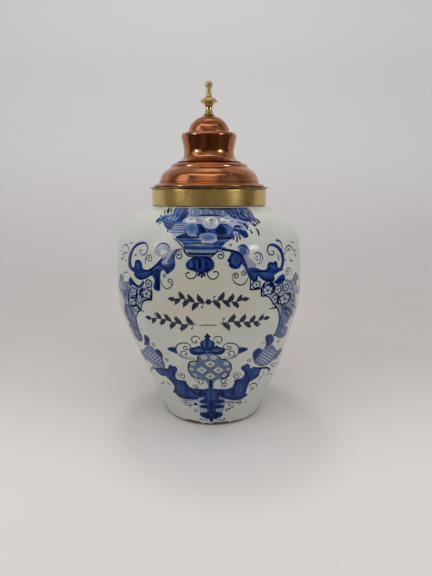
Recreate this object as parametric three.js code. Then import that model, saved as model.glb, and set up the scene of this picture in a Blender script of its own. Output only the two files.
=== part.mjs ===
// A tin-glazed earthenware tobacco jar with a slip-over lid of copper and brass sheet.
// Millimetres. +Z is up and the painted front faces -Y.
// The origin is on the surface that the jar stands on, under the axis of its neck.
import * as THREE from 'three';

// Fineness of the round pieces, in segments to a full turn
const JAR_SEGMENTS = 60;
const LID_SEGMENTS = 44;
const FINIAL_SEGMENTS = 20;

// Steps along each curved stretch of an outline
const BELLY_STEPS = 18;
const FILLET_STEPS = 3;
const DOME_WALL_STEPS = 7;
const DRUM_WALL_STEPS = 10;
const CAP_STEPS = 10;
const BALL_STEPS = 7;

// Gap kept between pieces that touch on the real jar
const TOUCH_GAP = 0.3;

// Jar: outlines as [radius, height]. The belly is a smooth curve from the heel to the shoulder.
const JAR_BELLY = [
  [57.7, 3.5], [66.6, 28], [77.1, 52], [87.2, 80], [96.2, 107], [102.7, 132],
  [104.5, 158], [103.5, 184], [98.8, 208.5], [84.3, 227.5], [63.6, 238.4],
];
const FOOT_RECESS_AND_RING = [[0, 4], [43, 4], [45, 0], [54, 0], [56.2, 0.9]];
const JAR_FLOOR = [[50, 14], [38, 12], [0, 12]];
const JAR_WALL = 7;
const NECK_OUTER_RADIUS = 60.3;
const NECK_INNER_RADIUS = 53;
const NECK_START_HEIGHT = 242.6;
const OUTER_FILLET_RISE = 1.7;
const INNER_FILLET_RISE = 2.5;
const INNER_FILLET_DROP = 1;
const JAR_HEIGHT = 257.3;
const RIM_ROUNDING = 2;

// The jar came off the wheel a little lopsided: below its belly it leans towards +X
const LEAN = 3.9;
const LEAN_TOP = 115;
const LEAN_BOTTOM = 45;

// Lid: a brass band round the neck, under a flat brass ring that rests on the jar's rim
const COLLAR_OUTER_RADIUS = 63.3;
const COLLAR_SHEET = 1;
const COLLAR_BOTTOM_HEIGHT = 239.7;
const RING_OUTER_RADIUS = 65.5;
const RING_INNER_RADIUS = 55.5;
const RING_SHEET = 1.2;

// Lid: three raised copper shells, one on another. Outlines are [radius, height above their base].
const COPPER_SHEET = 1.1;
const DOME_HEIGHT = 25.1;
const DOME_RIM = [[60.9, 0], [60.9, 1.5], [59.7, 2.7], [57.4, 3.2], [55.7, 3.5], [55.4, 4.4]];
const DOME_WALL = [[55, 5.5], [54, 8.8], [52, 13.2], [47.8, 17.3], [43.2, 20.2]];
const DOME_SHOULDER = [
  [42.5, 21], [42.3, 22.3], [41, 23.8], [38.8, 24.8], [36.5, DOME_HEIGHT], [29, DOME_HEIGHT],
];
const DRUM_HEIGHT = 31.5;
const DRUM_WALL = [
  [35.6, 1.1], [31.6, 3], [29.1, 5.2], [27.7, 8.5], [27.4, 12.6], [28.2, 18.1], [29.2, 23.1],
  [30.2, 28.1],
];
const DRUM_CORNER_RADIUS = 3.4;
const DRUM_TOP_HOLE_RADIUS = 17;
const CAP_RADIUS = 22.3;
const CAP_RISE = 18.3;

// Lid: the turned finial, and the washer and nut that hold it from inside the cap
const TENON_RADIUS = 2.5;
const TENON_LENGTH = 8.3;
const TENON_CLEARANCE = 0.3;
const FINIAL_FOOT_AND_STEM = [
  [6.1, -0.5], [5.8, 0.4], [4.5, 1.9], [4.1, 2.5], [4.5, 2.9], [4.4, 3.5], [3.8, 4], [3.7, 6.4],
  [4, 8.6], [4.8, 10.4],
];
const FINIAL_DISC = [[6.5, 11.9], [9.2, 13.2], [9.5, 13.9], [8.9, 15], [6.6, 17], [4.3, 18.3]];
const FINIAL_NECK = [[3.2, 20], [2.6, 22.4], [2.8, 25], [2.7, 27.95]];
const FINIAL_BALL_RADIUS = 4;
const FINIAL_HEIGHT = 34.9;
const WASHER_RADIUS = 5;
const WASHER_THICKNESS = 1;
const NUT_ACROSS_FLATS = 8;
const NUT_THICKNESS = 3.2;

// Heights that follow from the sizes above
const RING_BOTTOM_HEIGHT = JAR_HEIGHT + TOUCH_GAP;
const DOME_BOTTOM_HEIGHT = RING_BOTTOM_HEIGHT + RING_SHEET + TOUCH_GAP;
const DOME_TOP_HEIGHT = DOME_BOTTOM_HEIGHT + DOME_HEIGHT;
const DRUM_BOTTOM_HEIGHT = DOME_TOP_HEIGHT + TOUCH_GAP;
const DRUM_TOP_HEIGHT = DRUM_BOTTOM_HEIGHT + DRUM_HEIGHT;
const CAP_BOTTOM_HEIGHT = DRUM_TOP_HEIGHT + TOUCH_GAP;
const FINIAL_SEAT_HEIGHT = CAP_BOTTOM_HEIGHT + CAP_RISE + TOUCH_GAP;

const glazedEarthenware = new THREE.MeshStandardMaterial({
  color: 0xd3d6cb,
  roughness: 0.22,
  metalness: 0,
});
const copper = new THREE.MeshStandardMaterial({
  color: 0xb0673f,
  roughness: 0.28,
  metalness: 1,
});
const brass = new THREE.MeshStandardMaterial({
  color: 0xa88c4a,
  roughness: 0.34,
  metalness: 1,
});

const group = new THREE.Group();

// A solid of revolution about Z. Its outline runs anticlockwise, with radius to the right.
function turned(name, outline, segments, material) {
  const geometry = new THREE.LatheGeometry(outline, segments);
  geometry.rotateX(Math.PI / 2);
  const mesh = new THREE.Mesh(geometry, material);
  mesh.name = name;
  group.add(mesh);
  return mesh;
}

function vectors(pairs) {
  return pairs.map(([radius, height]) => new THREE.Vector2(radius, height));
}

// The same outline moved to the left of its direction of travel, which is into the material
function inset(points, distance) {
  return points.map((point, index) => {
    const before = points[Math.max(index - 1, 0)];
    const after = points[Math.min(index + 1, points.length - 1)];
    const along = after.clone().sub(before).normalize();
    return new THREE.Vector2(point.x - along.y * distance, point.y + along.x * distance);
  });
}

// Every other point and both ends, because an inner face needs fewer points than an outer one
function coarser(points) {
  return points.filter((_, index) => index % 2 === 0 || index === points.length - 1);
}

// A closed section of sheet metal whose outer face follows the outline
function sheetSection(outline, thickness) {
  const innerFace = coarser(inset(outline, thickness)).reverse();
  return [...outline, ...innerFace, outline[0].clone()];
}

// A rectangular ring section between two radii and two heights
function ringSection(innerRadius, outerRadius, bottom, top) {
  return vectors([
    [innerRadius, bottom], [outerRadius, bottom], [outerRadius, top],
    [innerRadius, top], [innerRadius, bottom],
  ]);
}

// Jar body: one wall from the recessed foot over the belly to the flat-topped rim
function jarOutline() {
  const belly = new THREE.SplineCurve(vectors(JAR_BELLY)).getPoints(BELLY_STEPS);
  const shoulder = belly[belly.length - 1];
  const neckFillet = new THREE.QuadraticBezierCurve(
    shoulder,
    new THREE.Vector2(NECK_OUTER_RADIUS, shoulder.y + OUTER_FILLET_RISE),
    new THREE.Vector2(NECK_OUTER_RADIUS, NECK_START_HEIGHT),
  ).getPoints(FILLET_STEPS);
  const floorEdgeHeight = JAR_FLOOR[0][1];
  const innerBelly = coarser(inset(belly, JAR_WALL))
    .filter((point) => point.y > floorEdgeHeight + JAR_WALL / 2)
    .reverse();
  const innerShoulder = innerBelly[0];
  const innerNeckFillet = new THREE.QuadraticBezierCurve(
    new THREE.Vector2(NECK_INNER_RADIUS, NECK_START_HEIGHT - INNER_FILLET_DROP),
    new THREE.Vector2(NECK_INNER_RADIUS, innerShoulder.y + INNER_FILLET_RISE),
    innerShoulder,
  ).getPoints(FILLET_STEPS);
  const rimEdge = JAR_HEIGHT - RIM_ROUNDING;
  const halfRound = RIM_ROUNDING * (1 - Math.SQRT1_2);
  const rim = vectors([
    [NECK_OUTER_RADIUS, rimEdge],
    [NECK_OUTER_RADIUS - halfRound, JAR_HEIGHT - halfRound],
    [NECK_OUTER_RADIUS - RIM_ROUNDING, JAR_HEIGHT],
    [NECK_INNER_RADIUS + RIM_ROUNDING, JAR_HEIGHT],
    [NECK_INNER_RADIUS + halfRound, JAR_HEIGHT - halfRound],
    [NECK_INNER_RADIUS, rimEdge],
  ]);
  return [
    ...vectors(FOOT_RECESS_AND_RING),
    ...belly,
    ...neckFillet.slice(1),
    ...rim,
    ...innerNeckFillet,
    ...innerBelly.slice(1),
    ...vectors(JAR_FLOOR),
  ];
}

// Sideways shift of the jar at a height: none above the belly, all of it near the foot
function leanAt(height) {
  return LEAN * (1 - THREE.MathUtils.smoothstep(height, LEAN_BOTTOM, LEAN_TOP));
}

const jar = turned('jar_body', jarOutline(), JAR_SEGMENTS, glazedEarthenware);
const jarPoints = jar.geometry.attributes.position;
for (let i = 0; i < jarPoints.count; i += 1) {
  jarPoints.setX(i, jarPoints.getX(i) + leanAt(jarPoints.getZ(i)));
}

// Collar band: a strip bent into a hoop, open at both ends
turned(
  'collar_band',
  ringSection(
    COLLAR_OUTER_RADIUS - COLLAR_SHEET,
    COLLAR_OUTER_RADIUS,
    COLLAR_BOTTOM_HEIGHT,
    RING_BOTTOM_HEIGHT - TOUCH_GAP,
  ),
  LID_SEGMENTS,
  brass,
);

// Seat ring: the flat ring on top of the band, whose thin edge stands out all round
turned(
  'seat_ring',
  ringSection(
    RING_INNER_RADIUS,
    RING_OUTER_RADIUS,
    RING_BOTTOM_HEIGHT,
    RING_BOTTOM_HEIGHT + RING_SHEET,
  ),
  LID_SEGMENTS,
  brass,
);

// The outline's points, raised to the height of the base that they are measured from
function raised(outline, base) {
  return vectors(outline.map(([radius, height]) => [radius, base + height]));
}

// Lower dome: a rolled rim, a groove, the bulging wall and a rounded shoulder with a flat ledge
function lowerDomeSection() {
  const rim = raised(DOME_RIM, DOME_BOTTOM_HEIGHT);
  const wallPoints = raised(DOME_WALL, DOME_BOTTOM_HEIGHT);
  const wall = new THREE.SplineCurve(wallPoints).getPoints(DOME_WALL_STEPS);
  const shoulder = raised(DOME_SHOULDER, DOME_BOTTOM_HEIGHT);
  const innerFace = coarser(inset([...wall, ...shoulder], COPPER_SHEET)).reverse();
  const innerRimCorner = new THREE.Vector2(wall[0].x - COPPER_SHEET, DOME_BOTTOM_HEIGHT);
  return [...rim, ...wall, ...shoulder, ...innerFace, innerRimCorner, rim[0].clone()];
}

turned('lower_dome', lowerDomeSection(), LID_SEGMENTS, copper);

// Drum: a foot that sweeps up into a waist, and a flared top with a rounded corner
function drumOutline() {
  const wallPoints = raised(DRUM_WALL, DRUM_BOTTOM_HEIGHT);
  const wall = new THREE.SplineCurve(wallPoints).getPoints(DRUM_WALL_STEPS);
  const wallTop = wall[wall.length - 1];
  const corner = new THREE.EllipseCurve(
    wallTop.x - DRUM_CORNER_RADIUS,
    DRUM_TOP_HEIGHT - DRUM_CORNER_RADIUS,
    DRUM_CORNER_RADIUS,
    DRUM_CORNER_RADIUS,
    0,
    Math.PI / 2,
  ).getPoints(FILLET_STEPS);
  const holeEdge = new THREE.Vector2(DRUM_TOP_HOLE_RADIUS, DRUM_TOP_HEIGHT);
  return [...wall, ...corner.slice(1), holeEdge];
}

turned('drum', sheetSection(drumOutline(), COPPER_SHEET), LID_SEGMENTS, copper);

// Cap dome: a flattened half ball with a hole for the finial's tenon
function capOutline() {
  const holeRadius = TENON_RADIUS + TENON_CLEARANCE;
  const holeAngle = Math.acos(holeRadius / CAP_RADIUS);
  return new THREE.EllipseCurve(
    0, CAP_BOTTOM_HEIGHT, CAP_RADIUS, CAP_RISE, 0, holeAngle,
  ).getPoints(CAP_STEPS);
}

turned('cap_dome', sheetSection(capOutline(), COPPER_SHEET), LID_SEGMENTS, copper);

// Finial: tenon, foot, stem, sharp-edged disc, slim neck and ball, turned from one bar
function finialOutline() {
  const tenon = [[0, -TENON_LENGTH], [TENON_RADIUS, -TENON_LENGTH], [TENON_RADIUS, 0]];
  const [ballStartRadius, ballStartHeight] = FINIAL_NECK[FINIAL_NECK.length - 1];
  const ballCentre = FINIAL_HEIGHT - FINIAL_BALL_RADIUS;
  const ball = new THREE.EllipseCurve(
    0,
    FINIAL_SEAT_HEIGHT + ballCentre,
    FINIAL_BALL_RADIUS,
    FINIAL_BALL_RADIUS,
    Math.atan2(ballStartHeight - ballCentre, ballStartRadius),
    Math.PI / 2,
  ).getPoints(BALL_STEPS);
  ball[ball.length - 1].x = 0;
  return [
    ...raised([...tenon, ...FINIAL_FOOT_AND_STEM, ...FINIAL_DISC, ...FINIAL_NECK],
      FINIAL_SEAT_HEIGHT),
    ...ball.slice(1),
  ];
}

turned('finial', finialOutline(), FINIAL_SEGMENTS, brass);

// Finial washer and nut, on the tenon under the cap
const washerTop = CAP_BOTTOM_HEIGHT + CAP_RISE - COPPER_SHEET - 3 * TOUCH_GAP;
const washerBottom = washerTop - WASHER_THICKNESS;
turned(
  'finial_washer',
  ringSection(TENON_RADIUS + TENON_CLEARANCE, WASHER_RADIUS, washerBottom, washerTop),
  FINIAL_SEGMENTS,
  brass,
);

const nutShape = new THREE.Shape();
const nutCornerRadius = NUT_ACROSS_FLATS / 2 / Math.cos(Math.PI / 6);
for (let corner = 0; corner < 6; corner += 1) {
  const angle = (corner * Math.PI) / 3;
  const x = nutCornerRadius * Math.cos(angle);
  const y = nutCornerRadius * Math.sin(angle);
  if (corner === 0) nutShape.moveTo(x, y);
  else nutShape.lineTo(x, y);
}
nutShape.closePath();
const nutBore = new THREE.Path();
nutBore.absarc(0, 0, TENON_RADIUS + TENON_CLEARANCE, 0, 2 * Math.PI, true);
nutShape.holes.push(nutBore);
const nut = new THREE.Mesh(
  new THREE.ExtrudeGeometry(nutShape, {
    depth: NUT_THICKNESS,
    bevelEnabled: false,
    curveSegments: FINIAL_SEGMENTS / 2,
  }),
  brass,
);
nut.name = 'finial_nut';
nut.position.z = washerBottom - TOUCH_GAP - NUT_THICKNESS;
group.add(nut);

export default group;
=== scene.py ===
import math

import bmesh
import bpy
import numpy as np
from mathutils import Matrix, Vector
from mathutils.geometry import delaunay_2d_cdt

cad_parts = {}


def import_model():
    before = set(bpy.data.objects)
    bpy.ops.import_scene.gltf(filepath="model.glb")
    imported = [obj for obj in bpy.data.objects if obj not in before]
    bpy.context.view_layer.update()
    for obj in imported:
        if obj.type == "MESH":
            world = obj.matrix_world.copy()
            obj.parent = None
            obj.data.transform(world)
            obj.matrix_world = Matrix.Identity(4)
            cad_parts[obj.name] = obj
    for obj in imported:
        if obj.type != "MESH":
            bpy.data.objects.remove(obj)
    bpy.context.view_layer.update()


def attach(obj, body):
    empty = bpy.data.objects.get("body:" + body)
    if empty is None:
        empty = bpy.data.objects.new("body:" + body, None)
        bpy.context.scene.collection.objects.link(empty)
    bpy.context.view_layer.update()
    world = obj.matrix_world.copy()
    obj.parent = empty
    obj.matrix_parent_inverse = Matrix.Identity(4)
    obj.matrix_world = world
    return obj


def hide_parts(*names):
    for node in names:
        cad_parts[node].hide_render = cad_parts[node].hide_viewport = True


# A painted earthenware tobacco jar with a lid of copper and brass. Sizes below are millimetres
# unless they say otherwise, +Z is up and the painted front faces -Y. Blender itself uses metres.
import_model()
MM = 0.001

# Camera: where the photograph was taken from, as fitted to the jar's outline
CAMERA_DISTANCE = 532
CAMERA_HEIGHT = 256
CAMERA_PITCH = math.radians(11.9)
CAMERA_YAW = math.radians(0.82)
CAMERA_LENS = 29.125
CAMERA_SENSOR = 36

# Jar, repeated from the CAD source: outlines as (radius, height)
JAR_BELLY = [
    (56.2, 0.9), (57.7, 3.5), (66.6, 28), (77.1, 52), (87.2, 80), (96.2, 107), (102.7, 132),
    (104.5, 158), (103.5, 184), (98.8, 208.5), (84.3, 227.5), (63.6, 238.4),
]
JAR_FOOT = [(54.4, 0.1), (54, 0), (45.4, 0), (44.8, 0.3), (43.4, 3.6), (42.6, 4), (0, 4)]
JAR_FLOOR = [(50, 14), (38, 12), (0, 12)]
JAR_WALL = 7
NECK_OUTER = 60.3
NECK_INNER = 53
NECK_START = 242.6
OUTER_FILLET_RISE = 1.7
INNER_FILLET_RISE = 2.5
INNER_FILLET_DROP = 1
JAR_HEIGHT = 257.3
RIM_ROUNDING = 2
LEAN = 3.9
LEAN_TOP = 115
LEAN_BOTTOM = 45

# Lid, repeated from the CAD source
GAP = 0.3
COLLAR_RADIUS = 63.3
COLLAR_SHEET = 1
COLLAR_BOTTOM = 239.7
COLLAR_ROLL = (0.85, 1.5)
COLLAR_SHOULDER = 2.8
RING_OUTER = 65.5
RING_INNER = 55.5
RING_SHEET = 1.2
RING_EDGE = 0.3
COPPER_SHEET = 1.1
DOME_RIM = [(60.9, 0.3), (61, 0.8), (60.9, 1.5), (59.7, 2.7), (57.4, 3.2), (55.7, 3.5), (55.4, 4.4)]
DOME_WALL = [(55, 5.5), (54, 8.8), (52, 13.2), (47.8, 17.3), (43.2, 20.2)]
DOME_SHOULDER = [(42.5, 21), (42.3, 22.3), (41, 23.8), (38.8, 24.8), (36.5, 25.1)]
DOME_HOLE = 29
DOME_FOOT_EDGE = 0.4
DRUM_WALL = [
    (35.6, 1.1), (31.6, 3), (29.1, 5.2), (27.7, 8.5), (27.4, 12.6), (28.2, 18.1), (29.2, 23.1),
    (30.2, 28.1),
]
DRUM_HEIGHT = 31.5
DRUM_CORNER = 3.4
DRUM_HOLE = 17
CAP_RADIUS = 22.3
CAP_RISE = 18.3
TENON_RADIUS = 2.5
TENON_LENGTH = 8.3
TENON_EDGE = 0.4
FINIAL_TURNING = [
    (6.1, -0.5), (5.8, 0.4), (4.5, 1.9), (4.1, 2.5), (4.5, 2.9), (4.4, 3.5), (3.8, 4), (3.7, 6.4),
    (4, 8.6), (4.8, 10.4), (6.5, 11.9), (9.2, 13.2), (9.5, 13.9), (8.9, 15), (6.6, 17),
    (4.3, 18.3), (3.2, 20), (2.6, 22.4), (2.8, 25), (2.7, 27.95),
]
FINIAL_BALL = 4
FINIAL_HEIGHT = 34.9
WASHER_RADIUS = 5
WASHER_SHEET = 1
WASHER_EDGE = 0.15
NUT_ACROSS_FLATS = 8
NUT_THICKNESS = 3.2
NUT_BORE_EDGE = 0.3
NUT_CHAMFER = (0.1, 0.45)

RING_BOTTOM = JAR_HEIGHT + GAP
DOME_BOTTOM = RING_BOTTOM + RING_SHEET + GAP
DOME_TOP = DOME_BOTTOM + DOME_SHOULDER[-1][1]
DRUM_BOTTOM = DOME_TOP + GAP
DRUM_TOP = DRUM_BOTTOM + DRUM_HEIGHT
CAP_BOTTOM = DRUM_TOP + GAP
FINIAL_SEAT = CAP_BOTTOM + CAP_RISE + GAP

# Fineness of the meshes, and what is mended in them, in millimetres
SEGMENTS = 180
FINIAL_SEGMENTS = 72
WASHER_SEGMENTS = 48
WALL_ROWS = 90
BELLY_STEPS = 24
CURVE_STEPS = 6
RIM_STEPS = 5
DOME_WALL_STEPS = 8
DOME_SHOULDER_STEPS = 3
DRUM_WALL_STEPS = 7
DRUM_CORNER_STEPS = 8
CAP_STEPS = 28
TURNING_STEPS = 3
BALL_STEPS = 16
SHARP_ANGLE = math.radians(38)
WELD_DISTANCE = 0.002
SLIVER_LENGTH = 0.0005


def spline(points, steps):
    """A smooth curve through the points (uniform Catmull-Rom), with that many steps to a span."""
    points = [np.array(p, float) for p in points]
    curve = []
    for i in range(len(points) - 1):
        before, start, end = points[max(i - 1, 0)], points[i], points[i + 1]
        after = points[min(i + 2, len(points) - 1)]
        leaving, arriving = (end - before) / 2, (after - start) / 2
        for k in range(steps):
            t = k / steps
            curve.append(
                (2 * start - 2 * end + leaving + arriving) * t**3
                + (3 * end - 3 * start - 2 * leaving - arriving) * t**2
                + leaving * t
                + start
            )
    curve.append(points[-1])
    return np.array(curve)


def inset(points, distance):
    """The outline moved to the left of its direction of travel, which is into the material."""
    along = np.gradient(np.asarray(points, float), axis=0)
    along /= np.linalg.norm(along, axis=1)[:, None]
    return np.asarray(points) + distance * np.stack([-along[:, 1], along[:, 0]], axis=1)


def arc(centre, radii, start, end, steps):
    """Points along an ellipse's arc, from one angle to another in degrees."""
    angles = np.radians(np.linspace(start, end, steps + 1))
    return np.stack(
        [centre[0] + radii[0] * np.cos(angles), centre[1] + radii[1] * np.sin(angles)], axis=1
    )


def bezier(start, control, end, steps):
    t = np.linspace(0, 1, steps + 1)[:, None]
    start, control, end = (np.array(p, float) for p in (start, control, end))
    return (1 - t) ** 2 * start + 2 * t * (1 - t) * control + t**2 * end


def raised(points, base):
    return np.array([(radius, base + height) for radius, height in points])


def make_mesh(name, vertices, faces, material, body, node=None, normals=None):
    """A piece from vertices in millimetres. It rides on a body and may stand for a CAD node."""
    mesh = bpy.data.meshes.new(name)
    mesh.from_pydata([tuple(v) for v in np.asarray(vertices) * MM], [], faces)
    mesh.materials.append(material)
    mesh.shade_smooth()
    if normals is None:
        mesh.set_sharp_from_angle(angle=SHARP_ANGLE)
    else:
        mesh.normals_split_custom_set_from_vertices([tuple(n) for n in normals])
    mesh.validate()
    piece = bpy.data.objects.new(name, mesh)
    bpy.context.scene.collection.objects.link(piece)
    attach(piece, body)
    if node:
        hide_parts(node)
    return piece


def lathe_grid(outline, segments, shape):
    """Vertices of an outline turned about Z, row by row, each moved by shape if there is one."""
    angles = np.linspace(0, 2 * math.pi, segments, endpoint=False)
    radius = np.repeat(outline[:, :1], segments, axis=1)
    height = np.repeat(outline[:, 1:2], segments, axis=1)
    angle = np.repeat(angles[None, :], len(outline), axis=0)
    if shape:
        radius, height = shape(radius, height, angle)
    return np.stack([radius * np.cos(angle), radius * np.sin(angle), height], axis=2)


def grid_faces(rows, segments, closed):
    """Four-sided faces between rows of vertices, and from the last to the first when closed."""
    faces = []
    for row in range(rows if closed else rows - 1):
        here, above = row * segments, (row + 1) % rows * segments
        for k in range(segments):
            after = (k + 1) % segments
            faces.append((here + k, here + after, above + after, above + k))
    return faces


def turned(name, node, outline, segments, material, shape=None):
    """A turned piece of the lid. Its outline runs anticlockwise, with radius to the right.

    An outline that starts off the axis ends where it starts. Otherwise both ends are on the axis.
    """
    outline = np.asarray(outline, float)
    closed = outline[0][0] > 0
    if closed:
        outline = outline[:-1]
    grid = lathe_grid(outline, segments, shape)
    faces = grid_faces(len(outline), segments, closed)
    weld(make_mesh(name, grid.reshape(-1, 3), faces, material, "lid", node))


def weld(piece):
    """Joins the vertices that share a place, such as a turned outline's ends on the axis."""
    work = bmesh.new()
    work.from_mesh(piece.data)
    bmesh.ops.remove_doubles(work, verts=work.verts, dist=WELD_DISTANCE * MM)
    bmesh.ops.dissolve_degenerate(work, edges=work.edges, dist=SLIVER_LENGTH * MM)
    work.to_mesh(piece.data)
    work.free()


# Materials. Noise scales are patches to a metre.


class Nodes:
    """Short calls for building the node tree of a procedural material, or of the world."""

    def __init__(self, holder, place="Object"):
        holder.use_nodes = True
        self.holder = holder
        self.tree = holder.node_tree
        self.shader = self.tree.nodes.get("Principled BSDF")
        self.place = self.tree.nodes.new("ShaderNodeTexCoord").outputs[place]

    def add(self, kind, values=None, **settings):
        node = self.tree.nodes.new(kind)
        for key, value in settings.items():
            setattr(node, key, value)
        for key, value in (values or {}).items():
            self.put(value, node.inputs[key])
        return node

    def put(self, value, socket):
        if isinstance(value, bpy.types.NodeSocket):
            self.tree.links.new(value, socket)
        else:
            socket.default_value = value

    def axes(self):
        """How far across, back and up the shaded place is, in millimetres."""
        place = self.add(
            "ShaderNodeVectorMath", {0: self.place, "Scale": 1 / MM}, operation="SCALE"
        )
        parts = self.add("ShaderNodeSeparateXYZ", {0: place.outputs[0]})
        return [parts.outputs[axis] for axis in "XYZ"]

    def noise(self, scale, detail, roughness=0.5, stretch=(1, 1, 1), distortion=0):
        """Smooth noise from 0 to 1."""
        place = self.add("ShaderNodeMapping", {"Vector": self.place, "Scale": stretch})
        values = {
            "Vector": place.outputs[0], "Scale": scale, "Detail": detail,
            "Roughness": roughness, "Distortion": distortion,
        }
        return self.add("ShaderNodeTexNoise", values).outputs["Fac"]

    def ramp(self, value, low, high, start=0.0, end=1.0):
        """Maps low..high to start..end, smoothly and without going past either."""
        values = {
            "Value": value, "From Min": low, "From Max": high, "To Min": start, "To Max": end,
        }
        node = self.add("ShaderNodeMapRange", values, interpolation_type="SMOOTHSTEP")
        return node.outputs[0]

    def near(self, value, middle, reach, core, top=1.0):
        """A soft hill, 0 beyond reach of the middle and full within that share of reach."""
        off = self.math("ABSOLUTE", self.math("SUBTRACT", value, middle), 0.0)
        return self.ramp(off, reach, reach * core, 0.0, top)

    def mix(self, share, first, second):
        node = self.add("ShaderNodeMix", data_type="RGBA")
        self.put(share, node.inputs["Factor"])
        self.put(first, node.inputs[6])
        self.put(second, node.inputs[7])
        return node.outputs[2]

    def math(self, operation, first, second):
        return self.add("ShaderNodeMath", {0: first, 1: second}, operation=operation).outputs[0]

    def times(self, first, second):
        return self.math("MULTIPLY", first, second)

    def larger(self, first, second):
        return self.math("MAXIMUM", first, second)

    def bump(self, height, depth, strength, normal=None):
        """A normal from a height map, with depth in millimetres from black to white."""
        values = {"Height": height, "Distance": depth * MM, "Strength": strength}
        if normal is not None:
            values["Normal"] = normal
        return self.add("ShaderNodeBump", values).outputs[0]

    def finish(self, **inputs):
        for key, value in inputs.items():
            self.put(value, self.shader.inputs[key.replace("_", " ")])
        return self.holder


def rgba(red, green, blue):
    return (red, green, blue, 1)


CLAY = (0.12, 0.062, 0.034)
CLAY_EDGE = (1.5, 3.4)
CLAY_BORDER = (0.3, -0.2)
CLAY_CHIPS = [(-18, 11), (12, 13)]
CHIP_HEIGHT = 4.6
CHIP_CORE = 0.55
CHIP_DEPTH = (-30, -45)
WEAR_SCALE = 120
STAIN = (0.66, 0.635, 0.50)
STAIN_HEIGHT = 150
STAIN_SIZE = (62, 38)
STAIN_FADE = (1.3, 0.3)
STAIN_DEPTH = (-30, -70)
STAIN_SCALE = 35


def pot_marks(n, colour):
    """A faint yellow stain in front, and bare clay along the foot's edge, higher at two chips."""
    across, depth, height = n.axes()
    sideways = n.math("DIVIDE", across, STAIN_SIZE[0])
    upward = n.math("DIVIDE", n.math("SUBTRACT", height, STAIN_HEIGHT), STAIN_SIZE[1])
    away = n.math("ADD", n.math("POWER", sideways, 2.0), n.math("POWER", upward, 2.0))
    stain = n.times(n.ramp(away, *STAIN_FADE), n.ramp(depth, *STAIN_DEPTH))
    stain = n.times(stain, n.ramp(n.noise(STAIN_SCALE, 3), 0.3, 0.7, 0.55, 1.0))
    colour = n.mix(stain, colour, rgba(*STAIN))
    bare = n.ramp(n.noise(WEAR_SCALE, 3, 0.6), 0.35, 0.7, *CLAY_EDGE)
    front = n.ramp(depth, *CHIP_DEPTH)
    for middle, reach in CLAY_CHIPS:
        chip = n.near(across, middle, reach, CHIP_CORE, CHIP_HEIGHT)
        bare = n.larger(bare, n.times(chip, front))
    clay = n.ramp(n.math("SUBTRACT", height, bare), *CLAY_BORDER)
    return n.mix(clay, colour, rgba(*CLAY))


GLAZE_CLOUD_SCALE = 22
STREAK_SCALE = 420
STREAK_STRETCH = (1, 1, 0.35)
PINHOLE = (0.20, 0.15, 0.10)
PINHOLE_SCALE = 210
PINHOLE_PATCH_SCALE = 60
RIPPLE_SCALE = 75
RIPPLE_DEPTH = 0.4
GRAIN_SCALE = 900
GRAIN_DEPTH = 0.04
GLOSS_SCALE = 130
GLOSS_ROUGHNESS = (0.07, 0.16)


def glaze_material(name, light, dark, streaks=0.0, shine=0.5, marks=None):
    """Tin glaze, or paint under it: uneven colour, pinholes and a slightly rippled gloss."""
    n = Nodes(bpy.data.materials.new(name))
    cloud = n.ramp(n.noise(GLAZE_CLOUD_SCALE, 4, 0.6), 0.35, 0.68)
    colour = n.mix(cloud, rgba(*light), rgba(*dark))
    if marks:
        colour = marks(n, colour)
    if streaks:
        streak = n.noise(STREAK_SCALE, 3, 0.6, STREAK_STRETCH, 0.6)
        streak = n.ramp(streak, 0.42, 0.66, 0.0, streaks)
        colour = n.mix(streak, colour, rgba(*[part * 0.45 for part in dark]))
    pinholes = n.add("ShaderNodeTexVoronoi", {"Vector": n.place, "Scale": PINHOLE_SCALE})
    pit = n.ramp(pinholes.outputs["Distance"], 0.0, 0.09, 1.0, 0.0)
    speck = n.times(pit, n.ramp(n.noise(PINHOLE_PATCH_SCALE, 2), 0.52, 0.6))
    colour = n.mix(n.times(speck, 0.6), colour, rgba(*PINHOLE))
    ripple = n.bump(n.noise(RIPPLE_SCALE, 2, 0.4), RIPPLE_DEPTH, 0.35)
    grain = n.math("SUBTRACT", n.noise(GRAIN_SCALE, 2), speck)
    normal = n.bump(grain, GRAIN_DEPTH, 0.5, ripple)
    rough = n.ramp(n.noise(GLOSS_SCALE, 3), 0.3, 0.7, *GLOSS_ROUGHNESS)
    return n.finish(Base_Color=colour, Roughness=rough, Normal=normal, Specular_IOR_Level=shine)


METAL_CLOUD_SCALE = 38
TARNISH_SCALE = 70
SEAM_SHADE_CORE = 0.3
SCRATCH_SCALE = 520
SCRATCH_STRETCH = (1, 1, 0.6)
SCRATCH_DEPTH = 0.01
DENT_SCALE = 55


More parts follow.
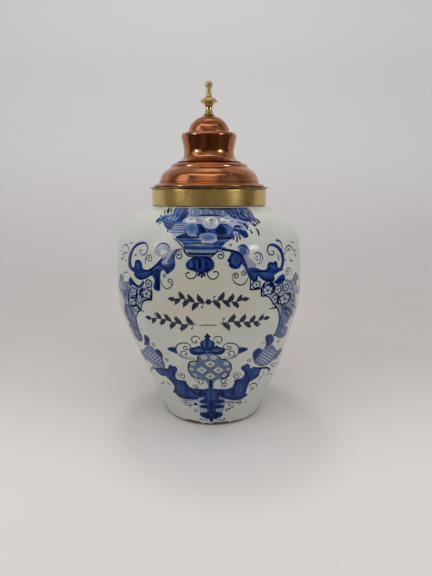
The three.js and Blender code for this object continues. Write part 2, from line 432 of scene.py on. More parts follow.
def metal_material(
    name, bright, dark, stain, rough, shaded_seams, grain=(1, 1, 1), dents=0.9, metallic=1.0
):
    """Worn polished sheet metal: uneven tone, tarnished spots, painted shade at joins, fine
    scratches and shallow dents.

    shaded_seams are heights of joins and grooves darkened as painted shade, each with how far it
    reaches, and dents is the depth of the dents, all in millimetres.
    """
    n = Nodes(bpy.data.materials.new(name))
    cloud = n.ramp(n.noise(METAL_CLOUD_SCALE, 5, 0.62, grain), 0.34, 0.7)
    colour = n.mix(cloud, rgba(*bright), rgba(*dark))
    spots = n.noise(TARNISH_SCALE, 5, 0.65)
    tarnish_and_shade = n.ramp(spots, 0.58, 0.74, 0.0, 0.75)
    height = n.axes()[2]
    # Painted shade: bands along the joins and grooves are darkened in the stain colour.
    for middle, reach in shaded_seams:
        seam_shade = n.near(height, middle, reach, SEAM_SHADE_CORE)
        tarnish_and_shade = n.larger(tarnish_and_shade, n.times(seam_shade, n.ramp(spots, 0.3, 0.55, 0.55, 1.0)))
    colour = n.mix(tarnish_and_shade, colour, rgba(*stain))
    scratch = n.noise(SCRATCH_SCALE, 3, 0.6, SCRATCH_STRETCH)
    roughness = n.math("ADD", n.ramp(scratch, 0.3, 0.75, *rough), n.times(tarnish_and_shade, 0.2))
    dented = n.bump(n.noise(DENT_SCALE, 2), dents, 0.5)
    normal = n.bump(scratch, SCRATCH_DEPTH, 0.5, dented)
    return n.finish(Base_Color=colour, Metallic=metallic, Roughness=roughness, Normal=normal)


white_glaze = glaze_material(
    "white_glaze", (0.66, 0.68, 0.62), (0.60, 0.62, 0.56), marks=pot_marks
)
# The tones of the painting. What is painted with glaze is left bare.
TONES = {
    "glaze": None,
    "mist": (0.37, 0.412, 0.525),
    "smoke": (0.177, 0.196, 0.27),
    "pale": (0.128, 0.22, 0.375),
    "dusk": (0.10, 0.125, 0.225),
    "middle": (0.054, 0.128, 0.335),
    "royal": (0.022, 0.07, 0.24),
    "cobalt": (0.010, 0.044, 0.215),
    "ink": (0.002, 0.008, 0.062),
    "label": (0.036, 0.041, 0.083),
}


def paint_material(tone):
    colour = np.array(TONES[tone])
    return glaze_material(f"paint_{tone}", colour * 1.15, colour * 0.8, streaks=0.35, shine=0.17)


COPPER = {
    "bright": (0.62, 0.25, 0.12), "dark": (0.50, 0.19, 0.085), "stain": (0.12, 0.04, 0.02),
    "rough": (0.08, 0.2),
    # Heights darkened as painted shade at the joins and the groove, with their reach
    "shaded_seams": [
        (DOME_BOTTOM, 0.7), (DOME_BOTTOM + 5, 0.6), (DRUM_BOTTOM, 1.1), (CAP_BOTTOM, 0.7),
    ],
}
copper = metal_material("copper", **COPPER)
drum_metal = metal_material("drum_copper", **COPPER, grain=(3, 3, 0.12), dents=0.4)
brass = metal_material(
    "brass", bright=(0.88, 0.63, 0.23), dark=(0.66, 0.46, 0.15), stain=(0.11, 0.08, 0.03),
    # Painted shade darkens the brass under and over the seat ring.
    rough=(0.18, 0.27), shaded_seams=[(RING_BOTTOM - 0.8, 1.1), (RING_BOTTOM + 0.7, 0.9)],
    grain=(1.6, 1.6, 0.25), dents=0.5, metallic=0.78,
)
finial_metal = metal_material(
    "finial_brass", bright=(0.82, 0.65, 0.32), dark=(0.66, 0.50, 0.20),
    # Painted shade darkens the finial where it sits.
    stain=(0.22, 0.17, 0.06), rough=(0.12, 0.22), shaded_seams=[(FINIAL_SEAT, 0.7)], dents=0.1,
)


# Jar


def belly_table():
    """The outer wall's radius and height by the distance up along it from the foot's edge."""
    points = spline(JAR_BELLY, BELLY_STEPS)
    along = np.concatenate([[0], np.cumsum(np.linalg.norm(np.diff(points, axis=0), axis=1))])
    return along, points


WALL_ALONG, WALL_POINTS = belly_table()
WALL_LENGTH = WALL_ALONG[-1]


def wall_at(along):
    """Radius and height of the outer wall at a distance up along it."""
    return (
        np.interp(along, WALL_ALONG, WALL_POINTS[:, 0]),
        np.interp(along, WALL_ALONG, WALL_POINTS[:, 1]),
    )


def lean_at(height):
    share = np.clip((height - LEAN_BOTTOM) / (LEAN_TOP - LEAN_BOTTOM), 0, 1)
    return LEAN * (1 - share * share * (3 - 2 * share))


# Unevenness of the thrown wall: turning ridges, and waves as (depth, count round, twist, start)
RIDGE_DEPTH = 0.1
RIDGE_TURN = 0.71
RIDGE_WOBBLE = 0.4
WAVES = [(0.16, 3, 0.031, 0.7), (0.12, 5, -0.052, 2.1)]


def wall_surface(angle, along):
    """Points of the outer wall by the angle from the front centre line and the distance up."""
    radius, height = wall_at(along)
    uneven = RIDGE_DEPTH * np.sin(along * RIDGE_TURN + RIDGE_WOBBLE * np.sin(2 * angle))
    for depth, count, twist, start in WAVES:
        uneven = uneven + depth * np.sin(count * angle + along * twist + start)
    swell = np.sin(np.clip(along / WALL_LENGTH, 0, 1) * math.pi) ** 0.5
    radius = radius + swell * uneven
    x = radius * np.sin(angle) + lean_at(height)
    return np.stack([x, -radius * np.cos(angle), height], axis=-1)


def wall_normals(angle, along):
    """Directions out of the wall, from points a small step and a small turn away."""
    step, turn = 0.02, 0.0004
    low, high = np.maximum(along - step, 0), np.minimum(along + step, WALL_LENGTH)
    up = wall_surface(angle, high) - wall_surface(angle, low)
    right = wall_surface(angle + turn, along) - wall_surface(angle - turn, along)
    normals = np.cross(right, up)
    return normals / np.linalg.norm(normals, axis=-1)[..., None]


def jar_body():
    """The pot as one closed mesh."""
    rows = np.linspace(0, WALL_LENGTH, WALL_ROWS)
    angles = np.linspace(-math.pi, math.pi, SEGMENTS, endpoint=False)
    grid_along, grid_angle = np.meshgrid(rows, angles, indexing="ij")
    wall = wall_surface(grid_angle, grid_along)
    shoulder = WALL_POINTS[-1]
    fillet = bezier(
        shoulder, (NECK_OUTER, shoulder[1] + OUTER_FILLET_RISE), (NECK_OUTER, NECK_START),
        CURVE_STEPS,
    )
    inner = inset(spline(JAR_BELLY, CURVE_STEPS), JAR_WALL)
    inner = inner[inner[:, 1] > JAR_FLOOR[0][1] + JAR_WALL / 2][::-1]
    inner_fillet = bezier(
        (NECK_INNER, NECK_START - INNER_FILLET_DROP),
        (NECK_INNER, inner[0][1] + INNER_FILLET_RISE), inner[0], CURVE_STEPS,
    )
    rounding, rim = (RIM_ROUNDING, RIM_ROUNDING), JAR_HEIGHT - RIM_ROUNDING
    rim_out = arc((NECK_OUTER - RIM_ROUNDING, rim), rounding, 0, 90, RIM_STEPS)
    rim_in = arc((NECK_INNER + RIM_ROUNDING, rim), rounding, 90, 180, RIM_STEPS)
    rest = np.concatenate([fillet[1:], rim_out, rim_in, inner_fillet, inner[1:], JAR_FLOOR])
    foot = np.array(JAR_FOOT[::-1])

    def turned_rows(outline):
        radius, height = outline[:, :1], outline[:, 1:]
        x = radius * np.sin(angles) + lean_at(height)
        return np.stack([x, -radius * np.cos(angles), height + 0 * x], axis=-1)

    grid = np.concatenate([turned_rows(foot), wall, turned_rows(rest)])
    weld(make_mesh(
        "jar_pot", grid.reshape(-1, 3), grid_faces(len(grid), SEGMENTS, closed=False),
        white_glaze, "jar", "jar_body",
    ))


# Painting. It is drawn flat, in millimetres across from the front's centre line and up along the
# wall from the foot's edge, and in the order of the brush: what comes later covers what is there.

painted = []
PAINT_STEPS = 4
SPOT_POINTS = 18
LEAF_POINTS = 9
STROKE_SHAPE = np.array([0.5, 1, 1, 0.9, 0.5])
CURL_CLOSING = 0.72
CURL_STEP = 18


def patch(tone, *points):
    """A filled shape with a smooth outline through the points."""
    loop = [points[-1], *points, points[0], points[1]]
    painted.append((tone, spline(loop, PAINT_STEPS)[PAINT_STEPS:-PAINT_STEPS]))


def spot(tone, across, up, width, height, turn=0):
    """A filled ellipse, turned that many degrees."""
    angles = np.linspace(0, 2 * math.pi, SPOT_POINTS, endpoint=False)
    x, y = width / 2 * np.cos(angles), height / 2 * np.sin(angles)
    c, s = math.cos(math.radians(turn)), math.sin(math.radians(turn))
    painted.append((tone, np.stack([across + x * c - y * s, up + x * s + y * c], axis=1)))


def brushed(tone, widths, line):
    """A stroke along a line of close points. The widths are spread evenly along it."""
    count = len(line)
    width = np.interp(np.linspace(0, 1, count), np.linspace(0, 1, len(widths)), widths) / 2
    along = np.gradient(line, axis=0)
    along /= np.maximum(np.linalg.norm(along, axis=1), 1e-9)[:, None]
    side = np.stack([-along[:, 1], along[:, 0]], axis=1) * width[:, None]
    start = line[0] - along[0] * width[0]
    end = line[-1] + along[-1] * width[-1]
    painted.append((tone, np.concatenate([line + side, [end], (line - side)[::-1], [start]])))


def stroke(tone, widths, *points):
    """A brush stroke through the points, with its widths or with the greatest of them."""
    if np.isscalar(widths):
        widths = widths * STROKE_SHAPE
    brushed(tone, widths, spline(points, PAINT_STEPS))


def strokes(tone, widths, *lines):
    """Strokes that differ only in their points."""
    for points in lines:
        stroke(tone, widths, *points)


def tapered(tone, width, *points):
    """A stroke that is half as wide at its ends."""
    stroke(tone, (width * 0.5, width, width * 0.5), *points)


def mirrored(middle, side, *points):
    """Points given by how far they are from a middle line, on its left (-1) or its right (1)."""
    return [(middle + side * across, up) for across, up in points]


def curl(width, across, up, radius, start, sweep):
    """An ink line that winds inwards round a centre to a dot. A negative sweep is clockwise."""
    turns = np.linspace(0, 1, max(8, int(abs(sweep) / CURL_STEP)))
    angle = np.radians(start + sweep * turns)
    reach = radius * (1 - CURL_CLOSING * turns)
    line = np.stack([across + reach * np.cos(angle), up + reach * np.sin(angle)], axis=1)
    brushed("ink", [width * 0.6, width, width, width * 0.8], line)
    spot("ink", *line[-1], width * 1.9, width * 1.7)


def leaf(tone, root, tip, width, bend=0.0):
    """A pointed leaf from root to tip, bent to its left by a share of its length."""
    root, tip = np.array(root, float), np.array(tip, float)
    along = tip - root
    left = np.array([-along[1], along[0]])
    t = np.linspace(0, 1, LEAF_POINTS)[:, None]
    spine = root + along * t + left * bend * np.sin(math.pi * t)
    half = width / 2 * np.sin(math.pi * t**0.8) / np.linalg.norm(along) * left
    painted.append((tone, np.concatenate([spine + half, (spine - half)[::-1][1:-1]])))


def basket():
    """The basket of flowers under the collar, and the shell that hangs from its foot."""
    basket_ground()
    feathery_leaves()
    collar_flowers()
    white_flower()
    striped_petals()
    dark_petals()
    bowl()
    loose_leaves()
    shell()


def basket_ground():
    patch("mist", (-50, 242), (-47, 250), (-38, 251), (-33, 258), (-33, 264.6), (36, 264.6),
          (42, 258), (45, 250), (47, 240), (38, 237), (37, 228), (26, 224), (8, 221), (-30, 221),
          (-38, 228), (-38, 235))
    patch("pale", (-17, 247), (-18, 256), (-16, 264.6), (14, 264.6), (17, 256), (15, 247))
    patch("cobalt", (14, 264.6), (18, 252), (23, 244), (31, 240.6), (40, 239), (44, 245),
          (40, 256), (37, 264.6))
    patch("middle", (-46, 238), (-42, 249), (-36, 253), (-32, 264.6), (-21, 264.6), (-23, 250),
          (-27, 238), (-37, 235.6))


def feathery_leaves():
    """Leaves on both sides, some of them up under the collar."""
    for tone, width, *ends in (
        ("ink", 3.6, (-43, 250), (-43.6, 268)), ("smoke", 3, (-39.4, 251), (-40, 268)),
        ("smoke", 2.6, (-47, 249), (-48.4, 262)), ("middle", 5, (-35, 249), (-33, 268)),
        ("cobalt", 9, (-31, 238), (-22, 266)), ("cobalt", 6, (-27, 238), (-19, 258)),
        ("middle", 2.4, (-31, 246), (-25, 262)), ("ink", 2.4, (-28, 238), (-20.6, 255)),
        ("cobalt", 4.4, (-56, 236), (-49, 246)), ("middle", 4.6, (-52, 237), (-45.6, 249)),
        ("cobalt", 2.8, (-49, 237), (-43, 250)), ("middle", 4.6, (-45.4, 236.6), (-39.4, 251.6)),
        ("ink", 2, (-42.6, 237), (-38, 249)), ("middle", 5, (-39.4, 236), (-33, 251)),
        ("cobalt", 2.6, (-36, 236), (-30.6, 249)), ("cobalt", 9, (17, 266), (25, 243)),
        ("cobalt", 8, (24, 268), (33, 242)), ("middle", 2.8, (22, 262), (30, 244)),
        ("ink", 2.6, (19, 258), (25.6, 243.6)), ("middle", 6, (31, 268), (40, 241)),
        ("cobalt", 3.6, (33, 262), (41.6, 239.6)), ("ink", 2.2, (28.6, 257), (36.4, 241)),
        ("smoke", 4, (38, 268), (46, 244)), ("cobalt", 2.6, (40.6, 256), (47.6, 238)),
        ("mist", 1.4, (35.6, 262), (38.6, 245)), ("mist", 1.2, (28.6, 264), (30.6, 250)),
        ("mist", 1.3, (-42, 239.6), (-37, 249)), ("mist", 1.2, (-36.6, 239), (-33, 248)),
        ("ink", 1.6, (24, 258), (31, 243)), ("mist", 1.2, (41, 254), (44.6, 242.6)),
    ):
        leaf(tone, *ends, width, 0.05)
    for tone, width, *line in (
        ("pale", 1.5, (-53, 242.6), (-46.6, 246)), ("pale", 1.3, (-47, 240), (-41, 244.6)),
        ("mist", 1.1, (-44, 247.4), (-38.4, 250.6)), ("pale", 1.5, (-38.6, 242.6), (-33, 248.4)),
        ("mist", 1.1, (-50.4, 247), (-45.4, 248.6)), ("mist", 1, (-34.6, 240), (-30.4, 246)),
        ("pale", 1.3, (-30.4, 251.6), (-27, 260)), ("pale", 1.2, (-34.4, 253.6), (-32.4, 262)),
        ("pale", 1.4, (23, 251.4), (29.4, 245)), ("pale", 1.4, (29.4, 250.4), (36, 242.6)),
        ("mist", 1.1, (33.6, 252.4), (39.4, 245)), ("pale", 1.3, (18.6, 262.4), (20.8, 254)),
        ("middle", 2.4, (20, 256.4), (24.4, 247.6)), ("mist", 1, (26.4, 243.6), (31.4, 240.4)),
        ("pale", 1.2, (38.4, 250.6), (43.4, 243)), ("middle", 2, (25, 262), (27.6, 253)),
    ):
        tapered(tone, width, *line)


def collar_flowers():
    """Small flowers and stems, cut off by the collar."""
    for across, up, size in ((-12.5, 256, 5), (-4.6, 256.6, 6), (9, 255, 5)):
        spot("middle", across, up, size + 2.4, size + 3.4)
        spot("pale", across, up, size, size + 1)
        spot("cobalt", across, up + 1, size * 0.4, size * 0.4)
    for tone, width, across, low, top in (
        ("mist", 1.2, -16, 249.6, 261.4), ("mist", 1.2, 13.2, 249.6, 261),
        ("mist", 1, -8.8, 251.6, 259.4), ("mist", 1, 1.4, 252, 260.4),
        ("middle", 2.6, 4.2, 251.4, 259.4), ("cobalt", 1.4, 5.4, 251.6, 256.8),
        ("middle", 1.8, -0.6, 250.8, 255.6), ("cobalt", 1.2, -14.6, 250.6, 254.6),
    ):
        tapered(tone, width, (across, low), (across + 0.5, top))
    patch("ink", (-10, 265), (-7, 261), (-2, 263), (2, 259), (8, 260), (14, 259), (20, 260),
          (23, 265))
    stroke("cobalt", (1, 3.4, 4, 3.4, 1), (-15, 246.5), (-7, 248.7), (0, 249.4), (7, 248.7),
           (14.4, 246.5))
    stroke("ink", (0.8, 2, 2.4, 2, 0.8), (-11, 247.6), (-4, 249.6), (1, 250), (6, 249.6),
           (11, 247.6))


def white_flower():
    """The flower in the middle and the light petals beside it."""
    patch("mist", (-26, 240), (-20, 246), (-12, 247), (0, 247.5), (12, 246.5), (20, 245),
          (27, 240), (23, 236), (10, 236.6), (-8, 236), (-20, 236.4))
    for across, up, width, height in ((-17, 241.4, 13, 6), (15.6, 241.4, 12, 6.4),
                                      (1.4, 239, 14, 15), (-9.4, 243.6, 6, 4.4)):
        spot("glaze", across, up, width, height)
    spot("mist", 1, 235, 11, 6)
    brushed("smoke", (0.66, 1.1, 1.1, 0.66), arc((3, 241), (2.8, 2.8), 0, 360, 19))
    spot("ink", 2.6, 241.4, 2.6, 2.4)
    for x0, y0, x1, y1 in (
        (-12, 244.4, -7.6, 243.8), (-13, 242, -8, 242.4), (-12, 239.6, -7, 240.2),
        (6.5, 245.4, 10, 242.5), (9.4, 241.4, 10.6, 237.4), (15, 244, 20, 243),
        (-19, 242, -15, 243), (12, 239, 17, 240), (20, 240.6, 25, 238.6), (-3, 238, -4.4, 241),
    ):
        stroke("smoke", (1.6, 1.3, 0.6), (x0, y0), (x1, y1))


def striped_petals():
    """A striped petal and a round one on the left."""
    patch("mist", (-39, 229), (-36, 235), (-28, 237.5), (-21, 237), (-19, 230), (-23, 226),
          (-33, 224.5), (-37, 226))
    for k in range(5):
        stroke("cobalt" if k % 2 else "middle", (0.5, 1.2, 1.4), (-39 + k, 226 + 2.2 * k),
               (-31, 226.4 + 2.6 * k), (-22, 226.6 + 2.6 * k))
    patch("pale", (-21, 236), (-13, 236.5), (-11.5, 230), (-13, 224), (-17, 222.8), (-21, 225),
          (-22.5, 230))
    spot("middle", -16.6, 231.4, 7, 8, 20)
    stroke("mist", 1, (-21.6, 228), (-19.6, 224.6), (-15.6, 223.6), (-12.8, 226))
    stroke("cobalt", 1.2, (-22.9, 232), (-22.4, 226), (-17.5, 222), (-12.6, 223))


def dark_petals():
    """The petals under the white flower."""
    patch("cobalt", (-12, 236), (-7.5, 236.5), (-4.5, 232.5), (1, 230.5), (6.5, 232), (10.5, 237),
          (17, 236), (21.5, 232), (22.5, 226), (21, 220), (6, 219.5), (-9, 220.5), (-12.5, 226))
    patch("ink", (-10, 233), (-6.5, 234), (-2, 229), (-3, 226), (-8, 227))
    patch("ink", (6.5, 231), (11, 235), (15, 230), (15, 225), (10, 224.5), (6, 228))
    patch("middle", (15.6, 234), (19.6, 233.6), (21.6, 229), (19.6, 224), (16.4, 225), (17, 230))
    stroke("pale", (0.8, 2, 0.8), (19.4, 232), (20.4, 228.6), (18.6, 225.4))
    for tone, width, *line in (
        ("middle", 1.8, (-10.8, 233.6), (-11.2, 226.4)), ("pale", 1, (-12, 234.6), (-12.2, 227)),
        ("royal", 2.6, (2, 230.4), (5.2, 226.4)), ("middle", 1.4, (-4, 230.6), (-1.4, 227.6)),
        ("middle", 1.3, (13.4, 236), (16.4, 230.6)), ("royal", 2, (12, 223.6), (18, 222)),
    ):
        tapered(tone, width, *line)
    spot("mist", -1.3, 221.3, 17.4, 10)
    spot("pale", -1.2, 222, 14.6, 7.6)
    spot("middle", -0.6, 221.4, 8.5, 4)


def bowl():
    """The bowl with its dark rim, banded side and foot."""
    patch("ink", (-32.5, 221), (-27, 224.3), (-22, 225.4), (-18, 222.6), (-10, 222.4),
          (-9.5, 220.6), (-20, 220.4), (-30, 220.2))
    patch("ink", (7.5, 223), (13, 222.6), (20, 221.8), (21, 219.4), (8, 219))
    patch("middle", (-32, 220), (-26, 216), (-23, 212), (-12, 211.5), (2, 211.5), (11, 212),
          (14, 215), (19, 219.2), (8, 219), (4, 216.4), (-1.5, 215.6), (-7, 216.6), (-10, 220))
    patch("cobalt", (5, 217), (15, 216.6), (10.5, 212.4), (4, 212.4))
    for up, start, end in ((218.4, -27, -9), (215.4, -24, 9)):
        stroke("cobalt", (0.6, 1.4, 0.8), (start, up), (end, up))
    for tone, up, start, end in (("pale", 213.4, -22, 9), ("pale", 217, -25, -13),
                                 ("mist", 214.4, -19, -4)):
        stroke(tone, (0.6, 1.1, 0.6), (start, up), (end, up))
    stroke("ink", (0.7, 1.3, 1.5), (-35, 220.6), (-31, 217.5), (-28, 215), (-25.5, 212.2))
    patch("cobalt", (-24, 212.2), (-6, 211.8), (14, 212), (12, 210), (-5, 209.6), (-22, 209.8))
    for tone, up, start, end in (("pale", 209.6, -22, 11), ("mist", 208, -21, 8),
                                 ("cobalt", 206.6, -20.6, 5.6), ("ink", 205.6, -20, 4.4),
                                 ("pale", 204.4, -19, 3)):
        stroke(tone, (1.2, 1.6, 1.2), (start, up), ((start + end) / 2, up - 0.3), (end, up))
    stroke("ink", (0.8, 1.1, 0.8), (-19.6, 203.4), (-8, 203.2), (3, 203.4))
    stroke("ink", (2, 1.8, 1), (-24, 209.4), (-22.4, 206.4), (-19.8, 203.6))
    stroke("ink", (1, 1.6, 1), (8, 209), (5.6, 206.4), (2.8, 203.8))
    curl(1.1, -28.4, 203.9, 4.4, 50, 470)
    curl(1.1, 10.2, 204.1, 4.2, 130, -450)
    stroke("ink", (0.8, 1.1, 0.7), (-25, 210.4), (-31, 209), (-34, 205.5), (-34.6, 201))
    spot("smoke", 20, 214, 2.6, 2.8, 40)


def loose_leaves():
    """Leaves on the left and the right of the bowl."""
    patch("dusk", (-47, 239), (-38, 238.6), (-35.6, 233), (-38.4, 228.6), (-42, 230), (-45.6, 234))
    strokes(
        "cobalt", (1.7, 1.4, 0.9),
        ((-51, 246), (-53, 249)), ((-48.5, 239.5), (-45, 236.8)), ((-44, 236.6), (-39.5, 235)),
        ((-44, 233.6), (-37.5, 229.6)), ((-41.2, 229), (-40.6, 226.4)), ((-38, 236), (-34.5, 234)),
        ((-42, 231.4), (-38.6, 232.6)), ((-52, 235), (-49.6, 236.6)),
    )
    patch("mist", (27, 241), (34, 239.6), (39, 236), (38, 229), (31, 231), (27, 235))
    patch("cobalt", (23, 232), (26, 235), (29.5, 233.5), (31, 229.5), (36, 227.5), (38.4, 222),
          (34, 220.4), (30, 223.5), (26.5, 227), (22.5, 228))
    stroke("ink", (1, 2.4, 1), (29.6, 228), (33.5, 225), (36.5, 221.6))
    stroke("mist", (0.5, 1, 0.5), (24.4, 230.6), (27.6, 231.4), (29.4, 229.4))
    for across, up, to_across, to_up in (
        (28, 239.4, 31.4, 235.6), (31, 238.6, 35.6, 233), (34.4, 237.6, 38.4, 231.4),
        (29, 234.6, 33, 231), (38, 241.6, 42.6, 238.4), (40, 238.4, 43.4, 234.6),
    ):
        stroke("cobalt", (0.6, 1.3, 0.8), (across, up), (to_across, to_up))
    strokes(
        "cobalt", (1, 1.7, 2),
        ((44, 243.4), (49, 241.6), (52.3, 236.2)), ((43, 238.6), (45, 236), (47.5, 233.8)),
        ((46.8, 230), (49.3, 227), (50, 222.6)), ((40, 229), (41.2, 227), (42.3, 225)),
        ((25, 225), (26.4, 221.6), (26.4, 217.2)), ((27.4, 225.2), (28.8, 222.6), (29.6, 219.4)),
        ((22.6, 225), (23.4, 222.4), (22.8, 219.4)), ((46, 240.6), (48, 238.4), (49.6, 235)),
    )
    strokes(
        "ink", (1, 1.8, 1.2),
        ((33.6, 241.8), (38, 240.4), (42.6, 238.4)), ((42, 241.4), (46, 240), (49.4, 236.2)),
        ((48, 242.2), (51, 239.8), (52.8, 236.4)), ((43.6, 234.6), (45.4, 233.6), (47, 232.6)),
        ((23.6, 230.8), (26.2, 233.6), (29.4, 232.4)), ((47.4, 229), (49.2, 226.6), (50, 223)),
        ((34, 236.4), (36.6, 233.6), (37.6, 230)), ((40.6, 227.8), (41.4, 226.6), (42.4, 225)),
    )


def shell():
    """The dark shell under the bowl's foot, with its three-lobed tip and two open curls."""
    patch("smoke", (-11, 204.2), (-15.6, 203), (-21.9, 197.6), (-22.3, 193), (-20, 190.8),
          (-15.6, 189.6), (-9.5, 187.8), (-3, 188), (1, 189.6), (4, 191.6), (4.9, 195),
          (4.5, 198.4), (2.4, 201.6), (-0.6, 203.8))
    patch("cobalt", (-11, 203.8), (-15, 202.6), (-21.2, 197.4), (-21.6, 193.2), (-19.6, 191.4),
          (-15.2, 190.2), (-9.5, 188.4), (-3.3, 188.6), (0.3, 190.2), (3.2, 192), (4.2, 195),
          (3.8, 198), (1.8, 201), (-1, 203.4))
    stroke("middle", (1.4, 3.6, 1.4), (-17.4, 199), (-17.6, 196), (-16.4, 193))
    stroke("middle", (0.6, 1.3, 0.6), (-12, 201.6), (-11.8, 196), (-11, 191.4))
    stroke("middle", (0.6, 1.1, 0.6), (-6, 201.6), (-6.2, 196), (-7, 191.4))
    for widths, *points in (
        ((1.2, 3, 1.6), (-9, 201.6), (-9, 196.6), (-9, 191.6)),
        ((0.8, 2.4, 1), (-15.4, 202.2), (-12.6, 202.4), (-10.4, 200.6)),
        ((0.8, 2.6, 1.2), (-4.6, 202.6), (-1, 202), (1.4, 199.4)),
        ((0.8, 2.6, 1), (-18, 191.8), (-15.2, 192), (-12.6, 190.2)),
        ((0.8, 2.8, 1.2), (-5.4, 189.4), (-2.4, 190.6), (0.8, 192.4)),
        ((0.8, 1.4, 0.8), (-13.4, 199), (-13.6, 195.6), (-12.8, 192.6)),
        ((0.8, 1.6, 0.8), (-3.4, 200), (-2.4, 196.4), (-3.4, 192.4)),
    ):
        stroke("ink", widths, *points)
    for across, up, turn in ((-9.9, 186.4, 60), (-7.2, 185.2, 90), (-4.8, 186.4, 120)):
        spot("ink", across, up, 3.8, 2.4, turn)
    spot("ink", -7.6, 188.2, 4.4, 2.6)
    for points in (
        ((-11.9, 188.6), (-12.5, 185.7), (-14.8, 183.1), (-17.9, 182.4), (-21, 183.5),
         (-22.3, 185.8), (-21.6, 187.7), (-19.6, 188)),
        ((-2, 188.6), (-1.5, 185.7), (0.3, 183.1), (2.9, 182.2), (6, 183.1), (8.2, 185.7),
         (8, 188.4), (6, 189.6), (4.4, 189)),
    ):
        stroke("ink", (1.2, 1.2, 1, 1.2), *points)
        spot("ink", *points[-1], 2, 1.8)


